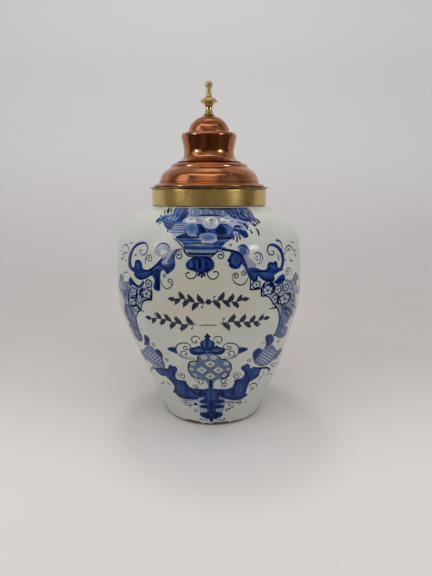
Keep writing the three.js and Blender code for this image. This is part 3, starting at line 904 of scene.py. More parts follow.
def left_scroll():
    """The large leaf scroll on the left shoulder, with the small curls about it."""
    # Pale lobes next to the basket
    patch("mist", (-55.5, 207), (-53, 211.6), (-47, 215), (-41, 214.2), (-37.5, 210.5),
          (-37, 206.5), (-41, 202.5), (-48, 202), (-53.5, 203.6))
    stroke("cobalt", (0.6, 1.6, 0.6), (-55, 207), (-52, 212), (-46, 214.6), (-40.5, 213.6),
           (-37.6, 210))
    spot("glaze", -45, 206, 9, 5, 15)
    patch("mist", (-49, 194), (-47.5, 200), (-43, 205), (-38, 207.6), (-31, 210), (-33, 203),
          (-33.6, 195.4), (-40, 194.6))
    patch("middle", (-41, 196.6), (-38, 202), (-34.4, 206), (-33.6, 200), (-34.4, 195.6))
    stroke("cobalt", (0.5, 1.4, 0.6), (-48, 197.6), (-44.5, 199.4), (-42, 202))
    stroke("ink", (0.6, 1.1, 0.8), (-25, 210.4), (-31.5, 208), (-34, 203), (-33, 196),
           (-34, 191.5))
    # Main leaf, with its ball end and the tail that comes down to the panel's border
    patch("cobalt", (-85, 187.5), (-83, 191), (-82, 194.4), (-78, 196), (-73.4, 195.4),
          (-71.4, 192), (-70.6, 189.2), (-67.5, 188), (-63, 188.4), (-58.4, 190.8), (-53, 195),
          (-49, 199), (-46, 201.4), (-46.6, 195), (-40, 195.2), (-33.8, 196), (-33.8, 191.2),
          (-37, 188.4), (-40, 186), (-42, 186), (-44.4, 189), (-47.5, 188), (-48.8, 183),
          (-49, 176), (-49.6, 169), (-55.5, 169), (-57.4, 173), (-55.6, 178), (-58, 182.4),
          (-62, 181.6), (-67, 178.8), (-74, 177.4), (-80.5, 178.4), (-84, 182.4))
    for widths, *points in (
        ((0.6, 1.8, 0.8), (-83, 190), (-82, 194.2), (-78, 195.6), (-73.6, 195), (-71.6, 191)),
        ((1, 2.6, 1.2), (-71, 188), (-66, 186.6), (-60, 188.4), (-54, 193), (-48, 198.6)),
        ((0.8, 2.2, 0.8), (-84, 182), (-80.5, 179), (-74, 178), (-67, 179.6), (-61, 182.6)),
        ((0.6, 3, 3.4), (-50.6, 187), (-52, 178), (-52.6, 171)),
        ((0.6, 1.2, 0.5), (-62, 183), (-58, 186), (-56, 190)),
        ((0.6, 1.2, 0.5), (-55, 183), (-52, 188), (-50, 193)),
        ((0.8, 2.4, 1), (-47, 192.6), (-41, 191), (-35, 193)),
        ((1, 2.6, 1.6), (-44, 189.4), (-41.4, 187.6), (-40, 187)),
        ((0.6, 1.4, 0.6), (-83.4, 186.6), (-78, 186), (-73, 189)),
    ):
        stroke("ink", widths, *points)
    for widths, *points in (
        ((2, 5, 2), (-80, 192.6), (-77.4, 190), (-76.6, 186)),
        ((1, 4, 1), (-79, 182), (-70, 182.6), (-62, 186)),
        ((0.8, 3, 0.8), (-58, 188), (-52.6, 191), (-48, 191.6)),
    ):
        stroke("royal", widths, *points)
    strokes(
        "middle", (0.5, 1.1, 0.5),
        ((-79, 192.6), (-77, 190), (-76.4, 187)), ((-77, 182.6), (-70, 183.6), (-63, 186.4)),
        ((-56, 189.6), (-52.6, 191.6), (-49, 192)), ((-46, 194), (-41, 193.4), (-36, 194.4)),
    )
    # Hook above the leaf
    patch("smoke", (-89, 205), (-93.6, 201), (-96, 194), (-94.4, 187.4), (-88, 184), (-82, 184.4),
          (-86, 188), (-90, 193), (-89.4, 199))
    stroke("cobalt", (3.4, 4.4, 4, 3.2, 2.4, 1.6, 1.1, 1, 0.9, 0.8),
           (-82, 184.6), (-88.6, 187), (-91.6, 191.4), (-91, 197), (-89, 202.4), (-85.4, 207),
           (-80, 210.8), (-74, 213), (-69, 213.8), (-65.6, 212.6), (-64, 209.4), (-65, 205.4),
           (-68, 202.4), (-72, 201.8), (-75, 203.6), (-74, 206), (-71.4, 206.8))
    stroke("ink", (1, 2, 1.8, 0.8), (-90, 190), (-89.6, 198), (-86, 205.4), (-79, 210.8))
    spot("smoke", -82, 200.6, 4.6, 2.2, 20)
    curl(0.8, -61.4, 199, 4.2, 200, -470)
    stroke("cobalt", (0.8, 1, 0.6), (-66.4, 193.6), (-66.6, 198), (-64, 201.6), (-60, 202.8))
    curl(0.9, -38.6, 179, 3.4, -80, 380)
    stroke("ink", (0.6, 1, 1), (-48.4, 180), (-46.6, 174), (-42, 171.8), (-38, 173.4),
           (-35.4, 176.6))
    curl(0.8, -44.6, 184, 2.3, 90, -380)
    # Lower leaf and the grey leaves that go round to the side
    patch("smoke", (-121, 171.6), (-117, 177), (-111, 177.8), (-106, 173.4), (-111, 170.6))
    patch("cobalt", (-95, 172), (-91.4, 177.6), (-86.4, 175.4), (-80, 171.6), (-75, 172),
          (-70.5, 177), (-69, 174), (-73, 169.6), (-79, 168.6), (-86, 170), (-92, 168.4))
    stroke("ink", (0.8, 2.2, 0.8), (-89.6, 174.6), (-83, 171.6), (-77, 170.6))
    stroke("smoke", (0.5, 2.4, 1.2), (-108, 169.6), (-100, 170.6), (-93, 171.4))
    strokes(
        "cobalt", (0.7, 1.3, 0.8),
        ((-112, 204.6), (-106, 208.4), (-100, 209.4), (-95.6, 206.6), (-94, 203)),
        ((-112, 198), (-107, 199), (-102, 201.4), (-96.6, 201.4)),
        ((-106, 178), (-103, 181), (-96.6, 181.4)),
        ((-113, 192.6), (-109, 194.6), (-106, 197.4)),
    )
    for across, up, width in (
        (-115.4, 201.4, 4.6), (-114, 193.4, 4.4), (-101, 193.4, 4.6), (-90.4, 212, 5.4),
        (-108, 198.8, 4),
    ):
        spot("smoke", across, up, width, 1.8, 6)


def right_scroll():
    """The same scroll on the right shoulder, which the painter drew a little differently."""
    patch("mist", (29, 207), (33, 209), (36, 204), (42, 198), (46, 194), (43, 190), (38, 190.6),
          (33.6, 195), (31, 201))
    patch("mist", (27.6, 206), (28, 211.6), (33, 213), (38, 209), (39, 204.6), (35, 203))
    patch("middle", (29, 206), (30, 212), (35, 210.6), (36, 206), (33, 203.6))
    stroke("cobalt", (0.8, 2.4, 1), (27, 211.4), (31, 213.4), (35.6, 211.6), (38.4, 207.4))
    patch("cobalt", (2, 210.8), (14, 210.8), (22, 209.4), (29, 206.8), (33, 202), (36, 195),
          (38.4, 188), (41, 181), (39.6, 180), (36.6, 186), (34, 191.6), (31, 195.4),
          (28.4, 191.8), (22.6, 191.4), (18.6, 194), (18.2, 197.6), (16.4, 199.4), (19, 203),
          (20, 207), (12, 208.6))
    spot("royal", 25.4, 199.6, 10, 11, 20)
    stroke("middle", (0.5, 1.2, 0.5), (22.6, 203), (22.4, 199), (24.4, 195.6))
    for widths, *points in (
        ((1, 2, 1), (4, 210.4), (14, 210), (24, 207.6), (30, 203.4), (34, 197)),
        ((0.8, 2, 0.8), (20.6, 206), (18.8, 200), (20.6, 194.6), (27, 192.4)),
        ((0.8, 1.6, 0.6), (31, 202), (30, 197.6), (27.6, 194)),
    ):
        stroke("ink", widths, *points)
    curl(1, 32.8, 187.6, 3.4, 80, -430)
    curl(1.1, 25, 184.6, 3.6, 200, -440)
    stroke("ink", (0.7, 1.2, 1.2, 0.7), (21.6, 183), (24, 178.6), (29.6, 175.8), (34.6, 177.6),
           (37.6, 182.6))
    # Main leaf
    patch("cobalt", (36, 190.6), (41, 191.8), (46, 191.4), (51, 189.2), (56, 188.6), (58.6, 190),
          (59.4, 193.6), (62.6, 195.8), (66, 194.6), (69.4, 196), (72.6, 193.6), (73.4, 190),
          (77, 188), (82, 186), (76, 184.6), (70, 182.8), (68, 181), (69, 177.6), (65, 175.8),
          (57, 177.2), (50.6, 180.8), (48.6, 183.4), (47.4, 179), (43, 177.6), (40.4, 181.4),
          (38, 185))
    for widths, *points in (
        ((1, 2.2, 1), (40, 189), (50, 187.6), (57, 187), (62, 189.6)),
        ((0.8, 2.4, 1), (41.6, 184), (43, 179.6), (46.4, 180.4), (47.6, 184)),
        ((0.8, 2, 0.8), (60, 194), (63, 194.6), (66, 192.4), (69.4, 194.6), (72, 192)),
        ((1, 2.2, 1), (50, 182.6), (57, 179), (65, 177.4), (68.4, 180)),
        ((0.6, 1.6, 0.6), (66, 184.6), (73, 186.4), (78, 187.4)),
    ):
        stroke("ink", widths, *points)
    for widths, *points in (
        ((1, 5, 1.6), (50, 186), (57, 183.6), (66, 182.6)),
        ((1, 4.6, 1.4), (61.6, 191.6), (67, 190), (70, 187.6)),
        ((0.8, 3.4, 1), (41, 187.4), (44.4, 184), (46, 185.4)),
    ):
        stroke("royal", widths, *points)
    strokes(
        "middle", (0.5, 1.1, 0.5),
        ((51, 186.4), (57, 184.6), (64, 183.6)), ((62.6, 192), (67, 190.6), (70, 188.6)),
        ((42, 187), (44.4, 185), (46, 186)),
    )
    # Hook
    stroke("cobalt", (3.4, 4.8, 4.6, 4, 3, 2, 1.5, 1.3, 1.2, 1),
           (75, 185.8), (79.4, 189), (81.4, 194), (81, 199.6), (78.4, 204.4), (74.4, 208.4),
           (69, 211), (64, 212), (60.4, 210.4), (59.4, 206.6), (61.4, 203.2), (65, 202),
           (67.6, 202.6), (67.4, 205), (65.4, 205.8))
    stroke("ink", (1, 2, 1.8, 0.8), (79.4, 191), (79.8, 198), (77, 204.4), (71, 209.4))
    stroke("cobalt", (2.6, 1.8, 1.4, 0.8), (72.4, 215.8), (76.6, 214.8), (80, 211.4), (80.4, 206))
    stroke("cobalt", (2.4, 1.6, 0.5), (80, 201.6), (84.8, 201.2))
    stroke("cobalt", (2.4, 1.8, 0.5), (80.6, 195), (87, 195.4))
    stroke("smoke", (0.8, 1.8, 2), (72.4, 201.8), (74, 199.4), (74.6, 196.4))
    curl(0.8, 47.6, 201, 4.6, 140, -400)
    stroke("cobalt", (0.6, 1, 0.7), (43.4, 204.6), (47.6, 206.2), (52, 203.6), (53.4, 199.4),
           (51, 195.8), (47.4, 195))
    patch("cobalt", (67.6, 176), (70.6, 176.8), (75, 180), (81, 181.6), (84.6, 180), (85.4, 176.6),
          (83, 173), (76.6, 171.6), (70.6, 173))
    stroke("ink", (1, 3, 1.4), (70, 175), (77, 176), (83, 176.6))
    stroke("smoke", (1, 1.6, 1.6, 1, 0.7), (86.6, 181.6), (88, 186), (92.6, 186), (97, 183),
           (98.4, 178.4))
    curl(0.9, 89.6, 182.6, 3.4, 160, 330)
    patch("smoke", (86, 176), (94, 173.6), (101, 174), (104, 177.8), (110, 179.4), (117, 175.6),
          (121, 170), (114, 170.4), (108, 166), (103, 171), (94, 171), (86, 173.4))
    strokes(
        "cobalt", (1, 1.5, 0.9),
        ((84.4, 201), (86, 206), (91, 208.8), (98, 207.4), (103.6, 203), (112, 202)),
        ((88.4, 203.6), (93, 205.4), (96, 202.6)), ((94.6, 196.6), (95.8, 193.2), (103, 192.6)),
        ((100, 212), (105, 211)), ((105, 199.6), (111, 196)),
    )
    # The panel's top right corner
    stroke("ink", (1.2, 1.4, 1.6), (39.6, 182), (40, 176), (39.8, 171.4))
    stroke("ink", (1.8, 1.6, 1.8), (39.8, 171), (46, 170.4), (52, 171.2))


def bloom(across, up, width, height, turn):
    """A small five-lobed flower with a dark outline, light petals and a dark heart."""
    for tone, reach, share, extra in (
        ("ink", 0.27, 0.5, 2), ("pale", 0.27, 0.5, 0), ("glaze", 0.31, 0.28, 0),
    ):
        for k in range(5):
            angle = math.radians(72 * k + turn)
            spot(tone, across + reach * width * math.cos(angle),
                 up + reach * height * math.sin(angle), share * width + extra,
                 share * height + extra)
    spot("cobalt", across, up, 0.16 * width, 0.16 * height)


def left_panel():
    """Border, flowers and drooping leaf on the left of the bare panel."""
    patch("mist", (-127, 168), (-114, 170), (-100, 171), (-90, 168), (-84, 160), (-84, 148),
          (-90, 140), (-96, 132), (-103, 127), (-110, 130), (-111, 143), (-105, 148),
          (-112, 153), (-124, 158))
    strokes(
        "smoke", (1, 3, 1.4),
        ((-125, 163), (-116, 160), (-107, 159)), ((-113, 155.4), (-107, 152), (-101, 152)),
        ((-112, 167), (-104, 166), (-96, 166.6)), ((-110, 148.6), (-105, 147), (-99, 146)),
    )
    patch("pale", (-112, 161), (-104, 163.6), (-95, 165), (-94, 157), (-102, 154), (-110, 156))
    patch("mist", (-97, 158), (-94, 165), (-88, 169), (-80, 169), (-73, 170.4), (-61, 169.6),
          (-60.4, 159.4), (-69, 158.4), (-73.4, 152), (-76, 146), (-84, 143), (-92, 146),
          (-98, 150))
    bloom(-66.2, 164, 11.4, 9, 18)
    bloom(-86.2, 163, 10, 8, 40)
    bloom(-89.6, 152.2, 13, 7, 0)
    bloom(-63, 174.6, 8, 7, 30)
    bloom(-77, 157.6, 6, 9, 60)
    bloom(-83.4, 145.4, 9, 5.4, 10)
    for widths, *points in (
        ((1.2, 3, 3, 1.4), (-70.4, 169), (-74.6, 166), (-74.4, 162), (-70.6, 159.4)),
        ((1, 2.6, 2.6, 1.4), (-79, 169), (-81, 162), (-82.6, 156), (-81.6, 150)),
        ((1, 2, 2.2, 1), (-92.4, 168), (-94.6, 161), (-97.4, 154), (-97, 148.6)),
        ((0.8, 1.8, 1.8, 0.8), (-97, 148), (-91, 147), (-85, 149), (-80, 150)),
        ((0.8, 1.8, 1), (-94, 158.6), (-89, 156.8), (-83, 157.6)),
        ((1.2, 2, 1.8), (-59.6, 170), (-59.4, 164), (-60.2, 158.6)),
        ((1.8, 2, 1.2), (-60.2, 158.6), (-66, 157.8), (-70.6, 156), (-73.4, 152), (-75, 147)),
        ((2.4, 2, 0.6), (-80.6, 150.4), (-76.6, 146.6), (-71.4, 144.6)),
        ((1.4, 1.8, 1.6, 0.8), (-76, 145), (-80.6, 142.4), (-83.4, 138.6), (-85.4, 133)),
    ):
        stroke("ink", widths, *points)
    strokes(
        "cobalt", (0.6, 1.3, 0.6),
        ((-120, 172), (-112, 165), (-108, 157), (-106, 150)), ((-98, 170), (-101, 162), (-103, 154)),
        ((-114, 176), (-108, 170), (-100, 168)), ((-112, 160), (-104, 157), (-99, 157)),
    )
    # Drooping leaf
    patch("dusk", (-104, 146), (-96, 148), (-88, 143.6), (-84.8, 137), (-84, 130), (-83.4, 122),
          (-80, 114), (-80.4, 107.4), (-88, 103.6), (-96, 105.4), (-101, 110), (-101, 117),
          (-107, 119), (-104, 124.6), (-109, 130), (-111, 138), (-108, 144))
    for tone, widths, *points in (
        ("smoke", (1.5, 4.4, 3), (-100, 146), (-96, 137), (-94, 128)),
        ("pale", (1, 3.4, 1.4), (-92, 146), (-88.6, 140), (-87, 134)),
        ("pale", (1, 3.4, 1.4), (-104, 142), (-101, 135), (-96, 131)),
        ("middle", (1, 4.8, 2), (-90.4, 132), (-90, 126), (-91.6, 119)),
        ("smoke", (2, 5, 3), (-96, 119), (-97, 113), (-93, 108)),
        ("mist", (1, 4, 1.6), (-91, 118), (-88.6, 115), (-88, 111)),
        ("cobalt", (1, 2.4, 1.6), (-85.6, 137), (-84.8, 128), (-83.6, 120), (-81, 113)),
        ("cobalt", (0.8, 2, 1), (-80.8, 113), (-82, 107), (-89, 104.8), (-96, 106.4)),
        ("cobalt", (0.8, 1.7, 1), (-108, 142), (-104, 134), (-102, 124), (-101, 114)),
        ("cobalt", (0.5, 1.2, 0.5), (-95, 145), (-92.6, 138), (-92.6, 131)),
        ("mist", (0.6, 1.4, 0.6), (-101, 145), (-98, 138), (-96.6, 132)),
        ("mist", (0.6, 1.2, 0.6), (-90.4, 136), (-89.6, 130), (-90, 124)),
        ("mist", (0.6, 1.4, 0.6), (-99, 124), (-98.4, 117), (-97.4, 111)),
    ):
        stroke(tone, widths, *points)
    patch("cobalt", (-75.6, 115.6), (-70.6, 116.6), (-67.4, 113), (-68.6, 107), (-71.6, 103.4),
          (-79.6, 102.4), (-76.6, 107.6))
    stroke("ink", (0.8, 2.2, 1), (-70, 115), (-71.4, 109.6), (-75, 104.6))
    stroke("smoke", 1, (-81, 121.6), (-78, 122.6), (-76.6, 123.2))
    curl(0.8, -63, 106.4, 2.8, 150, -360)


def right_panel():
    """The same on the right, which the painter drew a little differently."""
    patch("mist", (66, 170), (88, 171), (100, 174), (110, 170), (116, 162), (128, 164),
          (128, 156), (112, 154), (114, 146), (108, 134), (100, 128), (90, 134), (80, 140),
          (76, 146), (70, 152), (64, 160))
    patch("mist", (52, 171.6), (57, 175), (64, 176.4), (70, 172.6), (84, 172), (88, 166),
          (94, 162), (97.6, 158), (97, 152), (90, 148), (80, 146.4), (72, 149), (68, 153),
          (64, 160), (56, 163), (52, 165))
    patch("ink", (53, 171), (54, 175), (60, 177.6), (66, 176.4), (69, 172), (66, 171), (60, 173))
    bloom(60.2, 168, 12, 9, 18)
    bloom(73.8, 166.8, 9, 8, 50)
    bloom(70.2, 157.4, 8.4, 8.6, 30)
    bloom(86.4, 155.2, 18, 10.4, 10)
    bloom(87.4, 167, 10, 6.6, 0)
    bloom(46.4, 175.2, 8.6, 6.4, 30)
    patch("ink", (72.6, 158), (74.6, 161), (79, 158.6), (76, 155), (77.4, 151), (74, 151.4),
          (72.8, 154.6))
    stroke("mist", (0.8, 1.3, 0.8), (57.4, 171), (57.2, 174), (60, 175.4), (64, 174.6))
    stroke("mist", (0.8, 1.6, 0.8), (60, 163.6), (63.4, 161.6), (66.4, 158))
    for widths, *points in (
        ((1.4, 3, 3, 1.4), (62.6, 175.6), (67.6, 172), (68.4, 167), (65, 163.6)),
        ((0.8, 1.8, 0.8), (80, 172.6), (81, 168), (79.6, 163.6)),
        ((0.8, 1.8, 0.8), (77.6, 150.6), (83, 148.4), (90, 148.8)),
        ((0.6, 1.6, 0.8), (96, 172), (102, 167), (105, 160), (105, 152)),
        ((0.5, 1.2, 0.6), (104, 174), (111, 168), (114, 160)),
        ((2, 2.2, 1.6), (52, 171.4), (52.4, 167), (52.6, 163)),
        ((1.8, 1.2, 1.4, 1.8), (52.4, 163), (58, 162.4), (62.6, 160), (66, 156), (68, 152.4)),
        ((0.6, 1.6, 2.2), (63, 148.4), (67.6, 148.6), (72.4, 148.4)),
        ((2, 1.8, 1.4, 1.4, 0.8), (70, 151.4), (74.6, 147), (77.6, 141), (78.8, 134),
                                   (78.4, 127), (75.6, 119), (71.6, 115)),
        ((1, 2.6, 2, 1), (91, 160.6), (97, 158.6), (97.4, 154), (92, 150)),
    ):
        stroke("ink", widths, *points)
    for tone, *points in (
        ("smoke", (98, 146), (108, 143.6), (118, 138)), ("smoke", (96, 138), (105, 135), (113, 129)),
        ("smoke", (104, 157.4), (108, 155), (109.4, 150.6)),
        ("smoke", (106, 171), (112, 166), (113.6, 160)),
        ("smoke", (112, 158), (120, 156.6), (127, 152)),
        ("pale", (93, 171), (99, 168.6), (104, 164)), ("pale", (95, 164), (101, 163), (107, 159)),
        ("pale", (99, 152), (104, 150), (110, 147)), ("smoke", (97, 160), (101, 156), (101, 150)),
    ):
        stroke(tone, (1, 2.8, 1.2), *points)
    # Drooping leaf
    patch("dusk", (77.6, 147), (88, 147), (97, 144), (104, 139), (103, 133), (98, 128), (96, 122),
          (101, 118), (101.4, 112.6), (97, 108.4), (90, 107), (84, 109), (78, 112.6),
          (72, 115.4), (76.4, 121), (78, 130), (78.4, 140))
    for tone, widths, *points in (
        ("mist", (1, 3, 1.4), (77.6, 147.6), (79.6, 143.6), (80.6, 139.6)),
        ("pale", (1, 3.6, 1.4), (84, 141), (86, 136), (88, 130)),
        ("middle", (2, 6.4, 4), (82, 133), (83.4, 124), (79, 117)),
        ("cobalt", (1, 4, 2), (82, 130), (85.6, 127), (86.4, 121)),
        ("cobalt", (0.6, 1.8, 0.8), (88, 141), (92.6, 135), (95, 128)),
        ("cobalt", (0.6, 1.8, 0.8), (90, 123), (93.6, 117), (95.4, 111)),
        ("cobalt", (0.6, 1.5, 0.8), (100, 142), (104, 137), (103, 131), (98, 126)),
        ("cobalt", (0.6, 1.5, 0.8), (96.6, 121), (101.4, 117), (101, 111), (96, 108)),
        ("pale", (1, 3.4, 2), (89, 137), (93, 131), (97, 125)),
        ("pale", (1, 3.4, 1), (87, 123), (90, 117), (95, 112)),
        ("middle", (1, 4, 2), (88, 119), (86.4, 114), (83, 111.4)),
        ("smoke", (2, 6.4, 3), (94, 120), (97.4, 116), (95, 110.6)),
        ("mist", (0.8, 2, 0.8), (90, 129), (94, 123), (98, 120)),
        ("mist", (0.8, 1.6, 0.8), (92, 141), (98, 137), (103, 132)),
        ("cobalt", (1, 2.6, 1.6), (81.4, 143), (80.4, 136), (79.4, 127), (77.4, 120)),
        ("cobalt", (1, 2.8, 1), (84, 145.6), (90, 144), (97, 139.6)),
        ("ink", (0.8, 1.6, 0.8), (79, 112.6), (86, 108.6), (94, 108)),
    ):
        stroke(tone, widths, *points)
    for k in range(18):
        across, up = 81 + 2.6 * (k % 5) + 0.4 * (k // 5), 140 - 1.8 * k
        stroke("mist", (0.4, 0.9, 0.4), (across, up), (across + 1.4, up - 2.6))
    patch("cobalt", (60.6, 116.6), (65.6, 118.6), (70.6, 116.6), (73.4, 112.6), (73.6, 108),
          (70, 104.6), (65.6, 102.6), (61.4, 101.4), (62.4, 108))
    stroke("ink", (0.8, 2.2, 1), (61.8, 114), (63.4, 108), (63, 103))
    stroke("middle", (0.8, 2, 0.8), (67.6, 115), (68.6, 110.6), (67, 106))
    stroke("smoke", 0.9, (55.4, 108.4), (58, 109.6), (60.6, 108.2))
    curl(0.8, 82.6, 104, 3, 170, -330)


CROWN_MIDDLE = -2.8
FLOWER_MIDDLE = -2.4


def crown():
    """The three-lobed leaf at the bottom of the bare panel, with its curls and side scrolls."""
    patch("cobalt", (-2.3, 124), (-4.8, 121.6), (-5.6, 119.8), (-8, 119), (-7.8, 117),
          (-10, 115.6), (-9.2, 112.8), (-13.8, 111.4), (-18.8, 110), (-21, 105.6), (-18.8, 102),
          (-14.4, 101.2), (-9.4, 102), (-2.6, 103.6), (4, 102.4), (8.7, 101.6), (13.4, 103.6),
          (15, 106.9), (12.6, 110.2), (6.8, 111.8), (4.4, 113), (5.4, 115.6), (3.2, 117),
          (3.4, 119), (1, 119.8), (0.2, 121.6))
    stroke("middle", (0.8, 1.8, 0.8), (-5, 118.6), (-5.6, 115.4), (-4.6, 112.4))
    stroke("middle", (0.8, 1.8, 0.8), (0.4, 118.6), (0.8, 115.4), (-0.2, 112.4))
    stroke("middle", (0.8, 1.6, 0.8), (-16.6, 107.8), (-12, 108.6), (-7.6, 107.8))
    stroke("middle", (0.8, 1.6, 0.8), (11, 107.6), (7, 108.4), (3, 107.6))
    for widths, *points in (
        ((0.8, 1.8, 0.8), (-2.3, 122), (-2.4, 117), (-2.4, 111)),
        ((0.8, 1.8, 0.8), (-8.4, 118.4), (-8.2, 114.6), (-6.4, 111.4)),
        ((0.8, 1.8, 0.8), (3.6, 118.4), (3.6, 114.6), (1.8, 111.4)),
        ((0.8, 2.8, 1.4), (-19.8, 106.4), (-15.6, 103.4), (-9.6, 103.8), (-4, 105.6)),
        ((0.8, 2.8, 1.4), (14, 106.4), (10, 103.6), (4.6, 104), (-0.4, 105.6)),
        ((1.2, 3, 1.2), (-8.8, 110.6), (-2.4, 108.4), (4, 110.6)),
        ((0.8, 2, 0.8), (-18.8, 109), (-14.6, 110), (-10, 110.4)),
        ((0.8, 2, 0.8), (13, 109.2), (9, 110.4), (5, 110.8)),
    ):
        stroke("ink", widths, *points)
    for across, width in ((-12, 5), (-3, 3.4), (6.4, 5)):
        spot("dusk", across, 106.6, width, 2)
    patch("ink", (-2.2, 128.3), (-3.6, 126), (-5.4, 124.4), (-4, 122.6), (-2.3, 121.6),
          (-0.4, 122.6), (1.1, 124.4), (-0.8, 126))
    spot("ink", -11.6, 111.8, 3.4, 2.2, 25)
    spot("ink", 6.9, 112, 3.2, 2.2, -25)
    mirrored_scroll(-1)
    mirrored_scroll(1)


def mirrored_scroll(side):
    """The C scroll, its spiral, its leaf and the small curl above it, on one side."""
    def bent(tone, widths, *points):
        stroke(tone, widths, *mirrored(CROWN_MIDDLE, side, *points))

    bent("ink", (0.8, 1.1, 1, 1.3), (6.6, 120.6), (8, 123), (11, 124.2), (14.2, 122.6),
         (14.8, 119), (12.8, 116.2), (10.4, 116.8), (10.4, 118.8))
    bent("ink", (0.9, 1.3, 1.2, 1, 0.9), (16, 111), (17.6, 114), (22, 115.4), (27, 114.4),
         (31, 111), (32, 106), (30.6, 101), (27, 97.4), (21.6, 95.8), (12, 96.4))
    bent("smoke", (0.6, 0.9, 0.6), (28, 99.4), (24, 98.2), (15, 98.6))
    bent("ink", (0.7, 1, 0.9, 1.3), (16, 111), (18, 108.2), (22.6, 107.4), (24, 109.8),
         (21.6, 111.4), (20.2, 110))
    bent("ink", (0.8, 1.1, 0.9, 1.4), (26, 99), (27.4, 102), (25.6, 105), (22, 104.8),
         (20.8, 102), (23, 100.8))
    leaf_outline = ((31.8, 108), (35, 109), (39, 108), (42.4, 105.6), (39, 103), (35, 102),
                    (32, 101))
    patch("cobalt", *mirrored(CROWN_MIDDLE, side, *leaf_outline))
    bent("ink", (1.6, 2, 0.6), (33, 105), (37, 105.6), (41, 105.4))


def diamond(tone, across, up, half_width, half_height):
    """A filled four-cornered shape that stands on a corner."""
    corners = ((1, 0), (0, 1), (-1, 0), (0, -1))
    painted.append((tone, np.array([
        (across + x * half_width, up + y * half_height) for x, y in corners
    ])))


def medallion():
    """The round fruit under the crown, netted with double bands and small flowers."""
    left = ((-12.8, 100), (-13.4, 94.4), (-16.9, 93.4), (-21.3, 92.2), (-23.1, 88.8),
            (-24.4, 83.8), (-23.8, 78.1), (-21.3, 74.4), (-17.5, 71.3), (-13, 69.4))
    right = ((9, 70), (13.8, 71.9), (16.3, 75), (18.8, 80), (20, 83.8), (20, 88.8),
             (17.5, 92.5), (13.8, 95.3), (10, 96), (9.4, 99.4))
    patch("pale", *left, (-2, 67.8), *right, (4, 102.6), (-2.4, 103.6), (-8.4, 102.6))
    # Cells of the net, smaller towards the sides
    for up, places in (
        (98.4, ((-6.6, 0.7), (2.8, 0.7))), (90, ((-18.6, 0.6), (-1.2, 1), (15.4, 0.6))),
        (82, ((-10.4, 1), (6.6, 1))), (82.4, ((-21, 0.5), (17.2, 0.5))),
        (74, ((-18.6, 0.6), (-2.2, 1), (13, 0.7))),
    ):
        for across, share in places:
            for tone, width, height in (("cobalt", 8.4, 7.6), ("mist", 7.8, 7), ("ink", 6.7, 6),
                                        ("glaze", 5.6, 4.8)):
                diamond(tone, across, up, width * share, height * share)
            for x, y in ((1.6, 0), (-1.6, 0), (0, 1.5), (0, -1.5)):
                spot("pale", across + x * share, up + y * share, 1.5 * share, 1.4 * share)
            spot("ink", across, up, 1.5 * share, 1.4 * share)
    for points in (left, right):
        stroke("ink", (1.4, 1.4, 1.3, 1.2, 1), *points)
    # Stem
    patch("pale", (-8, 70), (3, 70), (0.6, 64), (0, 57), (-5, 57), (-6, 64))
    patch("ink", (-4, 68), (-0.6, 68), (-0.8, 62), (-1.4, 57.6), (-3.4, 57.6), (-3.8, 62))


